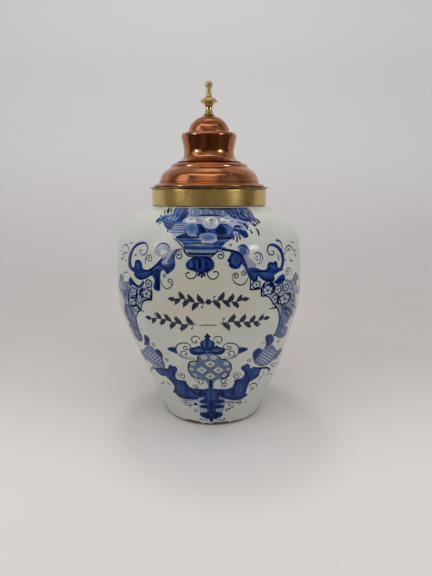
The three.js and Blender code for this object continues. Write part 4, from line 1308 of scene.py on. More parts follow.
def left_acanthus():
    """The heavy leaf that goes from the stem out to the left, and the net above it."""
    # Net panel
    patch("pale", (-90, 84), (-84, 92), (-77, 99), (-69, 103), (-63, 99), (-58, 94), (-54, 89),
          (-52.6, 80), (-54, 76), (-66, 76), (-78, 77), (-88, 79))
    patch("dusk", (-101, 78), (-98, 88), (-88, 92), (-84, 91), (-87, 84), (-84, 78), (-92, 76))
    lattice(-68.5, 88.4, 17, 13)
    strokes(
        "cobalt", (0.8, 1.4, 0.8),
        ((-63, 99), (-66, 103), (-72, 105)), ((-90, 84), (-84, 92), (-77, 99), (-70, 103)),
        ((-54, 89), (-53, 83), (-54, 77)),
    )
    patch("cobalt", (-61.6, 100), (-59, 102.4), (-55.4, 101.4), (-52.4, 97.4), (-52.8, 92.6),
          (-54.4, 88.4), (-56.6, 93), (-60.6, 95.6))
    stroke("ink", (0.8, 2, 0.8), (-58.6, 100.6), (-55.4, 97.6), (-54.6, 92))
    curl(0.8, -48.4, 90, 2.8, 170, -380)
    # Leaf
    patch("smoke", (-69, 75.4), (-75, 73.6), (-80, 69.6), (-85, 63.6), (-92, 59), (-100, 56),
          (-100, 53), (-90, 56.4), (-83, 60.4), (-78, 66), (-72, 69.6))
    patch("cobalt", (-72, 69), (-67, 74.4), (-59, 75.6), (-52.6, 77), (-48.6, 78.6),
          (-47, 82.6), (-43.6, 84.6), (-41.6, 83), (-38.6, 83.6), (-36.8, 80.6), (-38, 76),
          (-40, 72), (-40.6, 67.6), (-37.6, 65.2), (-29.4, 65.4), (-28, 62), (-26, 57.6),
          (-20, 55.4), (-11, 55.4), (-8, 47), (-11, 41), (-17, 38.4), (-25, 37), (-33, 36.2),
          (-40, 37.8), (-43.4, 41), (-47.4, 43), (-45.6, 46.6), (-44, 51), (-45, 55.6),
          (-49, 60.6), (-54, 65.4), (-60, 64), (-66, 65.4))
    for widths, *points in (
        ((0.8, 2, 1), (-70, 71), (-62, 74.4), (-54, 75.8), (-48, 78), (-45.6, 82)),
        ((0.8, 2.4, 1), (-43, 83), (-41.6, 78), (-42.6, 72), (-43.6, 66)),
        ((1, 2.6, 1), (-38, 64.4), (-32, 63.6), (-28.6, 60), (-25, 55.6), (-19, 54)),
        ((1, 3, 1), (-42, 41.6), (-34, 38.6), (-25, 38.6), (-18, 40.6)),
        ((0.8, 2.4, 1), (-46, 44), (-44, 47.4), (-43.6, 52)),
        ((0.8, 2, 1), (-53, 64.4), (-47, 62), (-42.4, 57)),
        ((1, 3, 1), (-24, 53), (-19, 48), (-14, 44)),
        ((0.8, 2.2, 0.8), (-30, 56), (-28.6, 50), (-25, 45)),
    ):
        stroke("ink", widths, *points)
    for widths, *points in (
        ((2, 9, 7), (-38, 62), (-36.6, 52), (-35.6, 44)),
        ((1, 4, 1.4), (-65, 69.6), (-56, 70), (-48, 69)),
        ((0.8, 2.2, 0.8), (-39.4, 81.6), (-39.8, 77), (-40.6, 73)),
        ((1, 3.4, 1), (-29, 50), (-24, 45.6), (-17, 43)),
    ):
        stroke("royal", widths, *points)
    for widths, *points in (
        ((0.5, 1.3, 0.5), (-37.6, 60), (-37.4, 53), (-36.4, 47)),
        ((0.5, 1.1, 0.5), (-33, 58), (-33, 51), (-32, 46)),
        ((0.5, 1, 0.5), (-25, 50.4), (-22, 46), (-17, 43.4)),
        ((0.5, 1, 0.5), (-20, 52.6), (-16.6, 49), (-13, 47)),
    ):
        stroke("middle", widths, *points)
    curl(1, -33, 71, 5, 190, -470)
    curl(1, -13.4, 65.4, 5, 175, -400)
    curl(1, -18.6, 58, 3.6, 180, -380)
    stroke("cobalt", (0.8, 1.6, 0.8), (-60, 56), (-61.4, 51.6), (-66.6, 48.8))
    stroke("cobalt", (0.8, 1.4, 0.8), (-53.4, 57.6), (-52, 54.2), (-49, 55))


def right_acanthus():
    """The same on the right, which the painter drew a little differently."""
    patch("pale", (48, 84), (46.6, 90), (50, 96), (58, 101), (64, 105), (72, 103), (77, 97),
          (82, 90), (79, 82), (70, 78), (60, 78), (53, 80))
    patch("dusk", (76, 83), (79, 89), (86, 92), (94, 91), (98, 87), (90, 82), (82, 79))
    lattice(63.6, 90, 16.4, 12.4)
    strokes(
        "cobalt", (0.8, 1.4, 0.8),
        ((72, 103), (77, 97), (81.6, 90), (79, 82.6)), ((60, 101), (63, 104), (68, 105)),
        ((48, 84), (46.6, 89), (49, 95)), ((52.6, 80), (60, 78.4), (70, 78.6)),
    )
    patch("cobalt", (44.6, 96), (45.4, 100.4), (50, 103.6), (54.6, 103.4), (56.6, 99.6),
          (54.6, 95.6), (50, 91.6), (47, 87.6), (45.4, 91))
    stroke("ink", (0.8, 2, 0.8), (52, 102), (48.6, 98), (47.4, 92))
    curl(0.8, 41, 90, 3, 200, -380)
    patch("cobalt", (32, 69), (34.6, 75.6), (31.2, 79.6), (31, 83.6), (35, 85.4), (38.4, 86.2),
          (41, 83.6), (41.2, 79.4), (45.4, 80.6), (50.6, 78.6), (56, 77), (62, 75.8), (67, 74),
          (70.4, 71), (73.4, 67), (70, 66.4), (66.6, 70.6), (61, 73), (56, 73.6), (54.4, 70),
          (53, 66), (49, 63.6), (44.4, 61.6), (40.6, 60), (38.6, 55.6), (36.6, 50), (35.4, 45),
          (39, 41.4), (38.2, 39), (33, 36.4), (27.4, 35.2), (21, 36.6), (15, 39), (9, 41.6),
          (5, 48), (5, 55.6), (13, 55.4), (19.4, 57), (22, 62), (23, 66.8), (28, 67.8))
    for widths, *points in (
        ((0.8, 2.2, 1), (32.6, 83), (33.4, 79), (36.6, 74), (36.6, 68)),
        ((1, 2.4, 0.8), (42.6, 79.4), (50, 77.6), (58, 75.6), (66, 73.4), (71, 68.6)),
        ((1, 2.6, 1), (22.4, 60), (25, 66), (30, 66.8)),
        ((1, 3.2, 1), (14, 41), (21, 38), (28, 37.4), (35.6, 39.4)),
        ((0.8, 2.2, 1), (38, 55), (36, 49), (35.6, 44)),
        ((0.8, 2.2, 1), (52.6, 67), (47, 64.4), (41, 62)),
        ((0.8, 2.4, 1), (20, 55), (21.6, 50), (20, 44)),
        ((0.8, 2.4, 0.8), (38.6, 70), (40, 64), (36.6, 58)),
    ):
        stroke("ink", widths, *points)
    for widths, *points in (
        ((2, 9, 7), (28, 63), (29, 53), (27, 45)),
        ((1, 5, 1.4), (44, 74), (48.6, 71), (46, 66.6)),
        ((0.8, 2.2, 0.8), (37.8, 84), (38.4, 80), (39.4, 76.4)),
        ((1, 3.4, 1), (12, 52), (15, 48), (18, 44)),
    ):
        stroke("royal", widths, *points)
    for widths, *points in (
        ((0.5, 1.4, 0.5), (29, 60), (30, 53), (29, 47)),
        ((0.5, 1.1, 0.5), (25.4, 58), (25.6, 52), (24.6, 47)),
        ((0.5, 1, 0.5), (13, 51.6), (15, 48), (15.4, 44.6)),
        ((0.5, 1.2, 0.5), (41.6, 80), (44, 78.6), (47, 77.6)),
        ((0.5, 1, 0.5), (47, 76), (51, 73.6), (52, 70)),
    ):
        stroke("middle", widths, *points)
    curl(1, 25.8, 72, 5, -10, 470)
    curl(1, 11.4, 66, 4.4, 5, 400)
    curl(1, 11.6, 60.6, 3.8, 0, 380)
    stroke("ink", (0.9, 1.4, 1.2, 0.9), (40, 54), (43, 56.6), (47, 56.6), (50.4, 53.4), (51, 49))
    curl(0.9, 44.4, 48.4, 3.2, 150, -400)
    stroke("cobalt", (1, 1.4, 0.8), (69.4, 70), (69.6, 65), (67.4, 60))
    stroke("cobalt", (0.8, 1.2, 0.6), (60, 69.4), (61, 66.4), (59.4, 64))
    stroke("cobalt", (0.8, 1.2, 0.8), (57.4, 63.4), (54.6, 62), (53.4, 58.6))
    strokes(
        "cobalt", (0.8, 1.5, 0.8),
        ((75, 75.4), (83, 73), (90, 70.4), (94.6, 65), (98, 63)), ((72, 76), (77, 71), (84, 68)),
        ((74, 60.4), (79, 56.6)),
    )


LATTICE_STEP = 4.4
LATTICE_SPREAD = 1.3
LATTICE_SLANT = 1.2


def lattice(across, up, half_width, half_height):
    """Crossed thin lines inside an oval, with a light dot in every mesh."""
    reach = int((half_width + half_height) / LATTICE_STEP) + 1
    for k in range(-reach, reach + 1):
        for side in (1, -1):
            t = np.linspace(-half_height, half_height, 17)
            x = across + k * LATTICE_STEP * LATTICE_SPREAD + side * t * LATTICE_SLANT
            within = ((x - across) / half_width) ** 2 + (t / half_height) ** 2 < 1
            if within.sum() > 2:
                brushed("royal", (0.8, 0.6), np.stack([x, up + t], axis=1)[within])
    for row in range(-4, 5):
        for k in range(-reach, reach + 1):
            x = across + (k + 0.5 * (row % 2 == 0)) * LATTICE_STEP * LATTICE_SPREAD
            y = up + row * LATTICE_STEP * LATTICE_SPREAD / (2 * LATTICE_SLANT)
            away = ((x - across) / half_width) ** 2 + ((y - up) / half_height) ** 2
            if away < 0.8:
                spot("mist", x, y, 3.1, 2.6)
            if away < 0.3:
                spot("glaze", x, y, 2.1, 1.8)


def bottom_flower():
    """The stack of leaves and the flower that hang under the acanthus."""
    def beside(side, *points):
        return mirrored(FLOWER_MIDDLE, side, *points)

    for side in (-1, 1):
        patch("mist", *beside(side, (4, 42), (13, 41.4), (15.6, 35), (13.6, 24), (12, 20.4),
                              (4, 19.6)))
        patch("mist", *beside(side, (3, 11), (9.6, 10), (12.6, 8.4), (11, 6.6), (4, 7)))
        stroke("mist", (1, 1.8, 1), *beside(side, (15, 36.6), (26, 35), (38, 34.4)))
    patch("cobalt", (-10, 56), (5, 56), (8, 48), (6, 41), (10, 40), (12, 35), (6, 32), (12, 30),
          (10, 26), (4, 26), (3, 21), (8, 20), (9.4, 15), (5, 11), (0.6, 10), (-1, 5.4),
          (-3.6, 5.4), (-5, 10), (-10, 11.4), (-14.4, 14.6), (-12, 19), (-7, 20.4), (-8, 25.6),
          (-14, 26), (-14.6, 29.6), (-9, 32), (-15, 34), (-13.4, 38.6), (-10, 41), (-12, 47))
    patch("royal", (-2.4, 56), (2.6, 53), (4, 47), (1.6, 41), (-2.4, 38.4), (-6.6, 41),
          (-9, 47), (-7.4, 53))
    stroke("middle", (0.6, 1.4, 0.6), (-5.4, 53), (-6, 47.6), (-4.6, 42))
    stroke("middle", (0.6, 1.4, 0.6), (0.8, 53), (1.2, 47.6), (-0.2, 42))
    stroke("cobalt", (0.8, 2, 0.8), (-2.4, 54), (-2.2, 47), (-2.4, 40))
    for up in (48, 36, 28.4):
        for side in (-1, 1):
            stroke("ink", (1, 3.2, 1.4), *beside(side, (3.6, up), (7.4, up + 0.6),
                                                 (11.6, up - 0.6)))
    for up in (32, 24):
        for side in (-1, 1):
            stroke("pale", (0.6, 1.2, 0.4), *beside(side, (3.6, up), (6.8, up + 0.4),
                                                    (10, up + 1)))
    for side in (-1, 1):
        stroke("ink", (1, 3, 1.6), *beside(side, (8.6, 53.4), (12.4, 49), (12, 43)))
        stroke("ink", (1.4, 4.4, 2), *beside(side, (4.4, 26.6), (8, 27.6), (11.4, 27.4)))
        stroke("ink", (1, 1.6, 0.8), *beside(side, (11, 19.6), (12, 15.4), (9, 11.6)))
        for k in range(4):
            stroke("cobalt", (0.8, 1.4, 0.6), *beside(side, (17 + 5 * k, 33 - 0.3 * k),
                                                      (19.4 + 5 * k, 31 - 0.3 * k)))
        curl(0.8, FLOWER_MIDDLE + side * 23.6, 26.4, 2.6, 90 + 60 * side, 380)
    stroke("ink", (1, 3.4, 2, 1), (-2.6, 40), (-2.4, 33), (-2.6, 26), (-2.4, 20))
    for k in range(5):
        turn = math.radians(90 + 72 * k)
        spot("ink", FLOWER_MIDDLE + 6.4 * math.cos(turn), 15.4 + 3 * math.sin(turn), 7.6, 5.2,
             math.degrees(turn))
    spot("middle", -2.4, 16, 2.6, 2)
    stroke("ink", (1.6, 2.4, 1.6), (-2.4, 12), (-2.2, 8), (-2.4, 5.6))
    spot("ink", -19.4, 30.6, 4.4, 3.6, 30)
    curl(0.9, -29.6, 29.4, 4.2, 100, 400)
    stroke("cobalt", (0.6, 1, 0.6), (-34, 33.6), (-27, 35), (-20, 34))
    curl(0.8, -19, 20.4, 3, 60, 380)
    spot("ink", -14.6, 8.6, 2.4, 2.6)
    spot("ink", 11.8, 9.2, 2.4, 2.4)
    stroke("cobalt", (0.8, 1.2, 0.6), (12, 35.4), (21, 33), (30, 30.6))
    stroke("dusk", 1, (6, 7), (11.4, 6.6), (12.4, 8.6))
    curl(0.9, 14.4, 22.4, 3, 120, -380)
    curl(0.9, 29, 30, 3.4, 150, -380)
    spot("ink", 17.8, 23.6, 2.8, 2.2, 40)
    spot("dusk", 17.6, 29.4, 3.4, 2.4, 40)
    spot("dusk", -24, 28.6, 3, 2.2, 30)
    stroke("smoke", 1, (35, 28), (38, 30), (40, 29))


def sprig(root, tip, count, length, width):
    """A leafy twig: a wavy stem, leaves on both sides by turns, and berries on short stalks."""
    root, tip = np.array(root, float), np.array(tip, float)
    along = (tip - root) / np.linalg.norm(tip - root)
    left = np.array([-along[1], along[0]])
    reach = np.linalg.norm(tip - root)
    stem = [
        root + along * reach * t + left * 1.6 * math.sin(2 * math.pi * t)
        for t in np.linspace(0, 1, 7)
    ]
    stroke("label", (1, 1, 0.7), *stem)
    line = spline(stem, 8)
    for k in range(count):
        side = 1 if k % 2 else -1
        start = line[int((k + 0.6) / (count + 0.6) * (len(line) - 1))]
        out = along * 0.62 + left * side * 0.8
        leaf("label", start, start + out * length * (1 - 0.035 * k), width, -0.14 * side)
        berry = start + along * 1.6 - left * side * length * 0.42
        stroke("label", 0.6, start, berry)
        spot("label", *berry, 2, 2)
    leaf("label", line[-1], line[-1] + along * length * 0.8, width * 0.9)


def sprigs():
    """Twigs in the bare panel: one pair above, one longer pair below."""
    sprig((-3, 160.2), (-33, 161.6), 6, 10.8, 4.9)
    sprig((1, 160.2), (31, 161.6), 6, 10.8, 4.9)
    spot("label", -1, 160.4, 5.6, 5.6)
    sprig((-13, 138), (-61, 139), 8, 11.4, 5.2)
    sprig((10, 138), (56, 139), 8, 11.4, 5.2)
    stroke("label", (0.6, 1.2, 0.6), (-10, 136.6), (-2, 137), (7, 136.6))


def paint():
    """Everything that is painted, from what lies under to what lies on top."""
    left_panel()
    right_panel()
    left_scroll()
    right_scroll()
    basket()
    left_acanthus()
    right_acanthus()
    medallion()
    crown()
    bottom_flower()
    sprigs()


# The painting as thin solids on the wall. A grid of extra points lets them follow its curve.
PAINT_RAISED = 0.06
PAINT_SUNK = 0.25
GRID_STEP = 3
GRID_MARGIN = 1
SAME_PLACE = 0.01


def inside(points, outline):
    """Which of the points an outline goes round, by its winding number."""
    turns = np.zeros(len(points), int)
    for start, end in zip(outline, np.roll(outline, -1, axis=0)):
        cross = (end[0] - start[0]) * (points[:, 1] - start[1]) - (
            points[:, 0] - start[0]) * (end[1] - start[1])
        turns += (start[1] <= points[:, 1]) & (end[1] > points[:, 1]) & (cross > 0)
        turns -= (start[1] > points[:, 1]) & (end[1] <= points[:, 1]) & (cross < 0)
    return turns != 0


def paint_layers():
    """Cuts the flat painting into triangles and gives each the tone that lies on top there."""
    places, edges = [], []
    for _, outline in painted:
        first, count = len(places), len(outline)
        places.extend(outline)
        edges.extend((first + k, first + (k + 1) % count) for k in range(count))
    low = np.min(places, axis=0) - GRID_MARGIN
    high = np.max(places, axis=0) + GRID_MARGIN
    for across in np.arange(low[0], high[0] + GRID_STEP, GRID_STEP):
        for up in np.arange(low[1], high[1] + GRID_STEP, GRID_STEP):
            places.append((across, up))
    cut = delaunay_2d_cdt([Vector(place) for place in places], edges, [], 0, SAME_PLACE)
    places, faces = np.array([tuple(v) for v in cut[0]]), np.array(cut[2])
    centres = places[faces].mean(axis=1)
    order = np.argsort(centres[:, 0])
    sorted_across = centres[order, 0]
    tone_of = np.full(len(faces), -1)
    for tone, outline in painted:
        first, last = np.searchsorted(sorted_across, (outline[:, 0].min(), outline[:, 0].max()))
        near = order[first:last]
        tone_of[near[inside(centres[near], outline)]] = list(TONES).index(tone)
    return places, faces, tone_of


def paint_the_pot():
    """One thin piece for each tone, its face just above the glaze and its back in the wall."""
    paint()
    places, faces, tone_of = paint_layers()
    places[:, 1] = np.clip(places[:, 1], 0, WALL_LENGTH)
    for number, tone in enumerate(TONES):
        if tone == "glaze":
            continue
        chosen = faces[tone_of == number]
        used, local = np.unique(chosen, return_inverse=True)
        local = local.reshape(-1, 3)
        across, up = places[used].T
        angle = across / wall_at(up)[0]
        surface, normals = wall_surface(angle, up), wall_normals(angle, up)
        count = len(used)
        vertices = np.concatenate([
            surface + PAINT_RAISED * normals, surface - PAINT_SUNK * normals])
        sides = np.concatenate([local[:, [0, 1]], local[:, [1, 2]], local[:, [2, 0]]])
        known = {tuple(side) for side in sides.tolist()}
        border = [side for side in known if side[::-1] not in known]
        solid = (
            local.tolist()
            + (local[:, ::-1] + count).tolist()
            + [(b, a, a + count, b + count) for a, b in sorted(border)]
        )
        make_mesh(
            f"painted_{tone}", vertices, solid, paint_material(tone), "jar",
            normals=np.concatenate([normals, normals]),
        )


# Lid


def ring_outline(inner, outer, bottom, top, edge):
    """A rectangular section with slightly broken corners."""
    corners = [
        (inner + edge, bottom), (outer - edge, bottom), (outer, bottom + edge),
        (outer, top - edge), (outer - edge, top), (inner + edge, top),
        (inner, top - edge), (inner, bottom + edge),
    ]
    return corners + corners[:1]


def sheet_outline(outer):
    """The section of a copper sheet: its outer face, and its inner face back to the start."""
    return np.concatenate([outer, inset(outer, COPPER_SHEET)[::-1], outer[:1]])


def collar_band():
    bottom, top = COLLAR_BOTTOM, RING_BOTTOM - GAP
    outer, inner = COLLAR_RADIUS, COLLAR_RADIUS - COLLAR_SHEET
    roll = arc(
        (outer - COLLAR_ROLL[0], top - COLLAR_ROLL[1]), COLLAR_ROLL, 0, 90, CURVE_STEPS
    )
    outline = np.concatenate([
        [(outer - 0.3, bottom), (outer - 0.05, bottom + 0.1), (outer, bottom + 0.4),
         (outer, bottom + 1), (outer, top - COLLAR_SHOULDER)],
        roll,
        [(inner + 0.1, top), (inner, top - 0.2), (inner, bottom + 0.3), (inner + 0.2, bottom),
         (outer - 0.3, bottom)],
    ])
    turned("collar_brass", "collar_band", outline, SEGMENTS, brass)


def seat_ring():
    top = RING_BOTTOM + RING_SHEET
    outline = ring_outline(RING_INNER, RING_OUTER, RING_BOTTOM, top, RING_EDGE)
    turned("seat_ring_brass", "seat_ring", outline, SEGMENTS, brass)


def lower_dome():
    """A sheet over a solid rolled rim."""
    rim = raised(DOME_RIM, DOME_BOTTOM)
    wall = spline(raised(DOME_WALL, DOME_BOTTOM), DOME_WALL_STEPS)
    shoulder = spline(raised(DOME_SHOULDER, DOME_BOTTOM), DOME_SHOULDER_STEPS)
    outer = np.concatenate([wall, shoulder, [(DOME_HOLE, DOME_TOP)]])
    inner = inset(outer, COPPER_SHEET)[::-1]
    foot = [
        (wall[0][0] - COPPER_SHEET, DOME_BOTTOM), (rim[0][0] - DOME_FOOT_EDGE, DOME_BOTTOM),
    ]
    outline = np.concatenate([rim, outer, inner, foot, rim[:1]])
    turned("lower_dome_copper", "lower_dome", outline, SEGMENTS, copper)


def drum():
    wall = spline(raised(DRUM_WALL, DRUM_BOTTOM), DRUM_WALL_STEPS)
    centre = (wall[-1][0] - DRUM_CORNER, DRUM_TOP - DRUM_CORNER)
    corner = arc(centre, (DRUM_CORNER, DRUM_CORNER), 0, 90, DRUM_CORNER_STEPS)
    outer = np.concatenate([wall, corner[1:], [(DRUM_HOLE, DRUM_TOP)]])
    turned("drum_sheet", "drum", sheet_outline(outer), SEGMENTS, drum_metal)


def cap_dome():
    hole = TENON_RADIUS + GAP
    end = math.degrees(math.acos(hole / CAP_RADIUS))
    outer = arc((0, CAP_BOTTOM), (CAP_RADIUS, CAP_RISE), 0, end, CAP_STEPS)
    turned("cap_dome_copper", "cap_dome", sheet_outline(outer), SEGMENTS, copper)


def finial():
    neck_radius, neck_height = FINIAL_TURNING[-1]
    ball_centre = FINIAL_HEIGHT - FINIAL_BALL
    start = math.degrees(math.atan2(neck_height - ball_centre, neck_radius))
    ball = arc((0, ball_centre), (FINIAL_BALL, FINIAL_BALL), start, 90, BALL_STEPS)
    ball[-1][0] = 0
    tenon = [
        (0, -TENON_LENGTH), (TENON_RADIUS - TENON_EDGE, -TENON_LENGTH),
        (TENON_RADIUS, TENON_EDGE - TENON_LENGTH), (TENON_RADIUS, FINIAL_TURNING[0][1]),
    ]
    turning = spline(FINIAL_TURNING, TURNING_STEPS)
    outline = raised(np.concatenate([tenon, turning, ball[1:]]), FINIAL_SEAT)
    turned("finial_brass", "finial", outline, FINIAL_SEGMENTS, finial_metal)


def finial_washer():
    top = CAP_BOTTOM + CAP_RISE - COPPER_SHEET - 3 * GAP
    bore = TENON_RADIUS + GAP
    outline = ring_outline(bore, WASHER_RADIUS, top - WASHER_SHEET, top, WASHER_EDGE)
    turned("washer_brass", "finial_washer", outline, WASHER_SEGMENTS, brass)


def finial_nut():
    """A six-sided nut with a round bore and its corners chamfered as a cone cuts them."""
    top = CAP_BOTTOM + CAP_RISE - COPPER_SHEET - 4 * GAP - WASHER_SHEET
    bottom = top - NUT_THICKNESS
    bore, flat = TENON_RADIUS + GAP, NUT_ACROSS_FLATS / 2
    half_side = math.pi / 6
    corner = flat / math.cos(half_side)
    face, slope = flat - NUT_CHAMFER[0], NUT_CHAMFER[1]
    outline = [
        (bore, bottom + NUT_BORE_EDGE), (bore + NUT_BORE_EDGE, bottom), (face, bottom),
        (corner, bottom + slope), (corner, top - slope), (face, top),
        (bore + NUT_BORE_EDGE, top), (bore, top - NUT_BORE_EDGE),
        (bore, bottom + NUT_BORE_EDGE),
    ]

    def hexagon(radius, height, angle):
        side = flat / np.cos((angle + half_side) % (2 * half_side) - half_side)
        return np.minimum(radius, side), height

    turned("nut_brass", "finial_nut", outline, FINIAL_SEGMENTS, brass, hexagon)


# Stage: sheet, lamps, the room that is mirrored, camera

# A sheet of paper. Each pair below is where a change in it starts and ends, in millimetres.
SHEET_FRONT = -550
SHEET_BEND_START = 300
SHEET_BEND_RADIUS = 600
SHEET_BEND_STEPS = 24
SHEET_TOP = 1040
SHEET_HALF_WIDTH = 4000
# Paper colours: darker behind, and lighter in front and higher up, are painted light.
PAPER_SHADED_BEHIND = (0.545, 0.52, 0.51)
PAPER_LIT_FRONT = (0.76, 0.735, 0.72)
PAPER_LIT_HIGH = (0.74, 0.72, 0.72)
PAPER_CLOUD = (0.70, 0.68, 0.665)
PAPER_DUST = (0.45, 0.41, 0.38)
# Colour of the painted dark reflection: what mirrors see of the paper in front, a step away from the
# jar
PAPER_REFLECTED_DARK = (0.06, 0.05, 0.045)
PAPER_CLOUD_SCALE = 3
PAPER_DUST_SCALE = 160
LIT_FRONT_DEPTH = (250, -200)
LIT_HIGH_HEIGHT = (0, 400)
REFLECTED_DARK_AWAY = (300, 500)
REFLECTED_DARK_DEPTH = (400, 150)
# Painted glow on the paper, rising with height
PAINTED_GLOW_HEIGHT = (50, 750)
PAINTED_GLOW = 0.2


def sheet_material():
    """Pale paper, painted darker behind and lighter in front and up high, with a painted glow up
    high. In metal and glaze it is painted dark from a step away from the jar in front, as a painted
    reflection.
    """
    n = Nodes(bpy.data.materials.new("paper_sheet"))
    _, depth, height = n.axes()
    # Painted light: the paper is darker behind the jar and lighter in front and higher up.
    colour = n.mix(n.ramp(depth, *LIT_FRONT_DEPTH), rgba(*PAPER_SHADED_BEHIND), rgba(*PAPER_LIT_FRONT))
    colour = n.mix(n.ramp(height, *LIT_HIGH_HEIGHT), colour, rgba(*PAPER_LIT_HIGH))
    cloud = n.ramp(n.noise(PAPER_CLOUD_SCALE, 3), 0.3, 0.7, 0.0, 0.2)
    colour = n.mix(cloud, colour, rgba(*PAPER_CLOUD))
    dust = n.ramp(n.noise(PAPER_DUST_SCALE, 2, 0.4), 0.73, 0.8, 0.0, 0.35)
    colour = n.mix(dust, colour, rgba(*PAPER_DUST))
    ray = n.tree.nodes.new("ShaderNodeLightPath").outputs
    away = n.add("ShaderNodeVectorMath", {0: n.place}, operation="LENGTH").outputs["Value"]
    # Painted reflection: for mirror rays the paper turns dark in front and to the sides, a step away
    # from the jar.
    reflected_dark = n.times(n.ramp(n.times(away, 1 / MM), *REFLECTED_DARK_AWAY), n.ramp(depth, *REFLECTED_DARK_DEPTH))
    colour = n.mix(n.times(reflected_dark, ray["Is Glossy Ray"]), colour, rgba(*PAPER_REFLECTED_DARK))
    seen = n.larger(ray["Is Camera Ray"], ray["Is Glossy Ray"])
    seen = n.larger(seen, ray["Is Transmission Ray"])
    # Painted glow: the paper shines more higher up, for the camera, mirrors and what shines through.
    painted_glow = n.times(n.ramp(height, *PAINTED_GLOW_HEIGHT, 0.0, PAINTED_GLOW), seen)
    return n.finish(
        Base_Color=colour, Roughness=0.85, Emission_Color=rgba(1, 1, 1.04),
        Emission_Strength=painted_glow,
    )


def paper_sheet():
    """One sheet that lies under the jar and bends up behind it."""
    bend = [
        (SHEET_BEND_START + SHEET_BEND_RADIUS * math.sin(angle),
         SHEET_BEND_RADIUS * (1 - math.cos(angle)))
        for angle in np.linspace(0, math.pi / 2, SHEET_BEND_STEPS)
    ]
    path = [(SHEET_FRONT, 0), *bend, (SHEET_BEND_START + SHEET_BEND_RADIUS, SHEET_TOP)]
    vertices, faces = [], []
    for depth, height in path:
        vertices += [(-SHEET_HALF_WIDTH, depth, height), (SHEET_HALF_WIDTH, depth, height)]
    for k in range(len(path) - 1):
        faces.append((2 * k, 2 * k + 1, 2 * k + 3, 2 * k + 2))
    mesh = bpy.data.meshes.new("paper_sheet")
    mesh.from_pydata([tuple(np.array(v) * MM) for v in vertices], [], faces)
    mesh.materials.append(sheet_material())
    mesh.shade_smooth()
    sheet = bpy.data.objects.new("paper_sheet", mesh)
    bpy.context.scene.collection.objects.link(sheet)


# Lamps: two softboxes in front as (name, azimuth, power), and one high up behind the jar
LAMP_TINT = (1.0, 0.98, 0.95)
FRONT_LAMPS = [("lamp_left", -58, 0.18), ("lamp_right", 50, 0.145)]
LAMP_DISTANCE = 480
LAMP_HEIGHT = 340
LAMP_SIZE = (90, 62)
TOP_LAMP_PLACE = (-165, 450, 1500)
TOP_LAMP_SIZE = (260, 260)
TOP_LAMP_POWER = 3.0


def lamp(name, azimuth, distance, height, size, power):
    """A softbox, azimuth degrees to the right of the line from the jar to the camera."""
    light = bpy.data.lights.new(name, "AREA")
    light.shape = "RECTANGLE"
    light.size, light.size_y = (side * MM for side in size)
    light.energy = power
    light.color = LAMP_TINT
    holder = bpy.data.objects.new(name, light)
    angle = math.radians(azimuth)
    place = Vector((distance * math.sin(angle), -distance * math.cos(angle), height)) * MM
    holder.location = place
    target = Vector((0, 0, min(height, JAR_HEIGHT))) * MM
    holder.rotation_euler = (target - place).to_track_quat("-Z", "Y").to_euler()
    holder.visible_camera = False
    bpy.context.scene.collection.objects.link(holder)
    return holder


# Plain light, and the room that metal and glaze mirror: pale behind, bright overhead, and
# dark in front, with a bright strip under its ceiling and a glow round each lamp. Places,
# reaches and edges are radians, round from the middle of the front and up from the horizon.
HORIZON = (0.275, 0.27, 0.275)
CEILING = (1.41, 1.40, 1.42)
BACK_WALL = 0.42
OVERHEAD = 1.05
OVERHEAD_EDGE = (1.15, 1.35)
FRONT_EDGE = (2.05, 1.7)
FRONT_TOP = (0.5, 0.36)
ROOM_DARK = 0.086
ROOM_CEILING = 0.215
ROOM_EDGE = (0.02, 0.24)
ROOM_CLOUD_SCALE = 2.2
ROOM_TINT = (1.0, 0.72, 0.5)
UPPER_TINT = (1.0, 0.93, 0.84)
BRIGHT_TINT = (1.0, 0.96, 0.9)
STRIP_UP = 0.9
STRIP_REACH = 0.13
STRIP_FADE = (1.0, 0.2)
STRIP_END = (1.45, 1.15)
STRIP_GLOW = 1.25
SIDE_PLACE = (-1.2, 0.5)
SIDE_REACH = (0.3, 0.42)
SIDE_GLOW = 0.9
LAMP_PLACE = (0.9, 0.14)
LAMP_REACH = (0.32, 0.17)
LAMP_GLOW = 0.87
GOLD_TINT = (1.0, 0.62, 0.3)
GOLD_PLACE = (-0.1, 0.62)
GOLD_REACH = (0.55, 0.3)
GOLD_GLOW = 0.5
GOLD_CLOUD_SCALE = 14
GLOW_CORE = 0.4


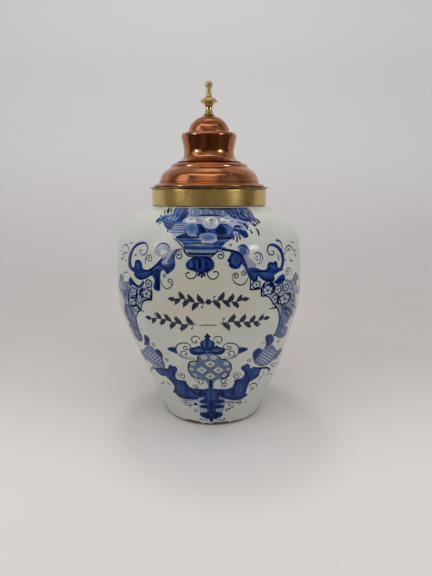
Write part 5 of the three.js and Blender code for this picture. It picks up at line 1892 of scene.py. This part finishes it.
def world():
    """Soft light from above and behind, and what is mirrored."""
    scene = bpy.context.scene
    scene.world = bpy.data.worlds.new("room")
    n = Nodes(scene.world, "Generated")
    parts = n.add("ShaderNodeSeparateXYZ", {0: n.place}).outputs
    up = n.math("ARCSINE", parts["Z"], 0.0)
    around = n.math("ARCTAN2", parts["X"], n.times(parts["Y"], -1.0))
    sideways = n.math("ABSOLUTE", around, 0.0)
    sky = n.mix(parts["Z"], rgba(*HORIZON), rgba(*CEILING))
    front = n.ramp(sideways, *FRONT_EDGE)
    back = n.ramp(up, *OVERHEAD_EDGE, BACK_WALL, OVERHEAD)
    high = n.ramp(up, *ROOM_EDGE)
    dim = n.ramp(high, 0.0, 1.0, ROOM_DARK, ROOM_CEILING)
    dim = n.times(dim, n.ramp(n.noise(ROOM_CLOUD_SCALE, 3, 0.6), 0.3, 0.7, 0.5, 1.5))

    def lit(strength, tint):
        values = {0: tint, "Scale": strength}
        return n.add("ShaderNodeVectorMath", values, operation="SCALE").outputs[0]

    def glow(across, place, reach):
        level = n.near(up, place[1], reach[1], GLOW_CORE)
        return n.times(n.near(across, place[0], reach[0], GLOW_CORE), level)

    strip = n.near(up, STRIP_UP, STRIP_REACH, GLOW_CORE)
    strip = n.times(strip, n.ramp(around, *STRIP_FADE, 0.3, 1.0))
    strip = n.times(strip, n.ramp(sideways, *STRIP_END, 0.0, STRIP_GLOW))
    side = n.times(glow(around, SIDE_PLACE, SIDE_REACH), SIDE_GLOW)
    lamps = n.times(glow(sideways, LAMP_PLACE, LAMP_REACH), LAMP_GLOW)
    bright = n.larger(n.larger(strip, side), lamps)
    gold = glow(around, GOLD_PLACE, GOLD_REACH)
    cloud = n.ramp(n.noise(GOLD_CLOUD_SCALE, 3, 0.6), 0.4, 0.6, 0.2, GOLD_GLOW)
    gold = n.times(gold, cloud)
    room = lit(dim, n.mix(high, rgba(*ROOM_TINT), rgba(*UPPER_TINT)))
    for light in (lit(bright, BRIGHT_TINT), lit(gold, GOLD_TINT)):
        room = n.add("ShaderNodeVectorMath", {0: room, 1: light}, operation="ADD").outputs[0]
    low = n.times(front, n.ramp(up, *FRONT_TOP))
    plain = n.mix(low, sky, rgba(*[ROOM_DARK] * 3))
    glossy = n.tree.nodes.new("ShaderNodeLightPath").outputs["Is Glossy Ray"]
    colour = n.mix(front, lit(back, BRIGHT_TINT), n.mix(glossy, plain, room))
    background = n.tree.nodes["Background"]
    n.put(colour, background.inputs["Color"])
    n.put(1.0, background.inputs["Strength"])
    scene.view_settings.view_transform = "Standard"


def camera():
    data = bpy.data.cameras.new("camera")
    data.lens = CAMERA_LENS
    data.sensor_width = CAMERA_SENSOR
    holder = bpy.data.objects.new("camera", data)
    holder.location = (0, -CAMERA_DISTANCE * MM, CAMERA_HEIGHT * MM)
    holder.rotation_euler = (math.pi / 2 - CAMERA_PITCH, 0, -CAMERA_YAW)
    bpy.context.scene.collection.objects.link(holder)
    bpy.context.scene.camera = holder


camera()
world()
paper_sheet()
for lamp_name, azimuth, power in FRONT_LAMPS:
    lamp(lamp_name, azimuth, LAMP_DISTANCE, LAMP_HEIGHT, LAMP_SIZE, power)
lamp("lamp_top", *TOP_LAMP_PLACE, TOP_LAMP_SIZE, TOP_LAMP_POWER).visible_glossy = False
jar_body()
paint_the_pot()
collar_band()
seat_ring()
lower_dome()
drum()
cap_dome()
finial()
finial_washer()
finial_nut()
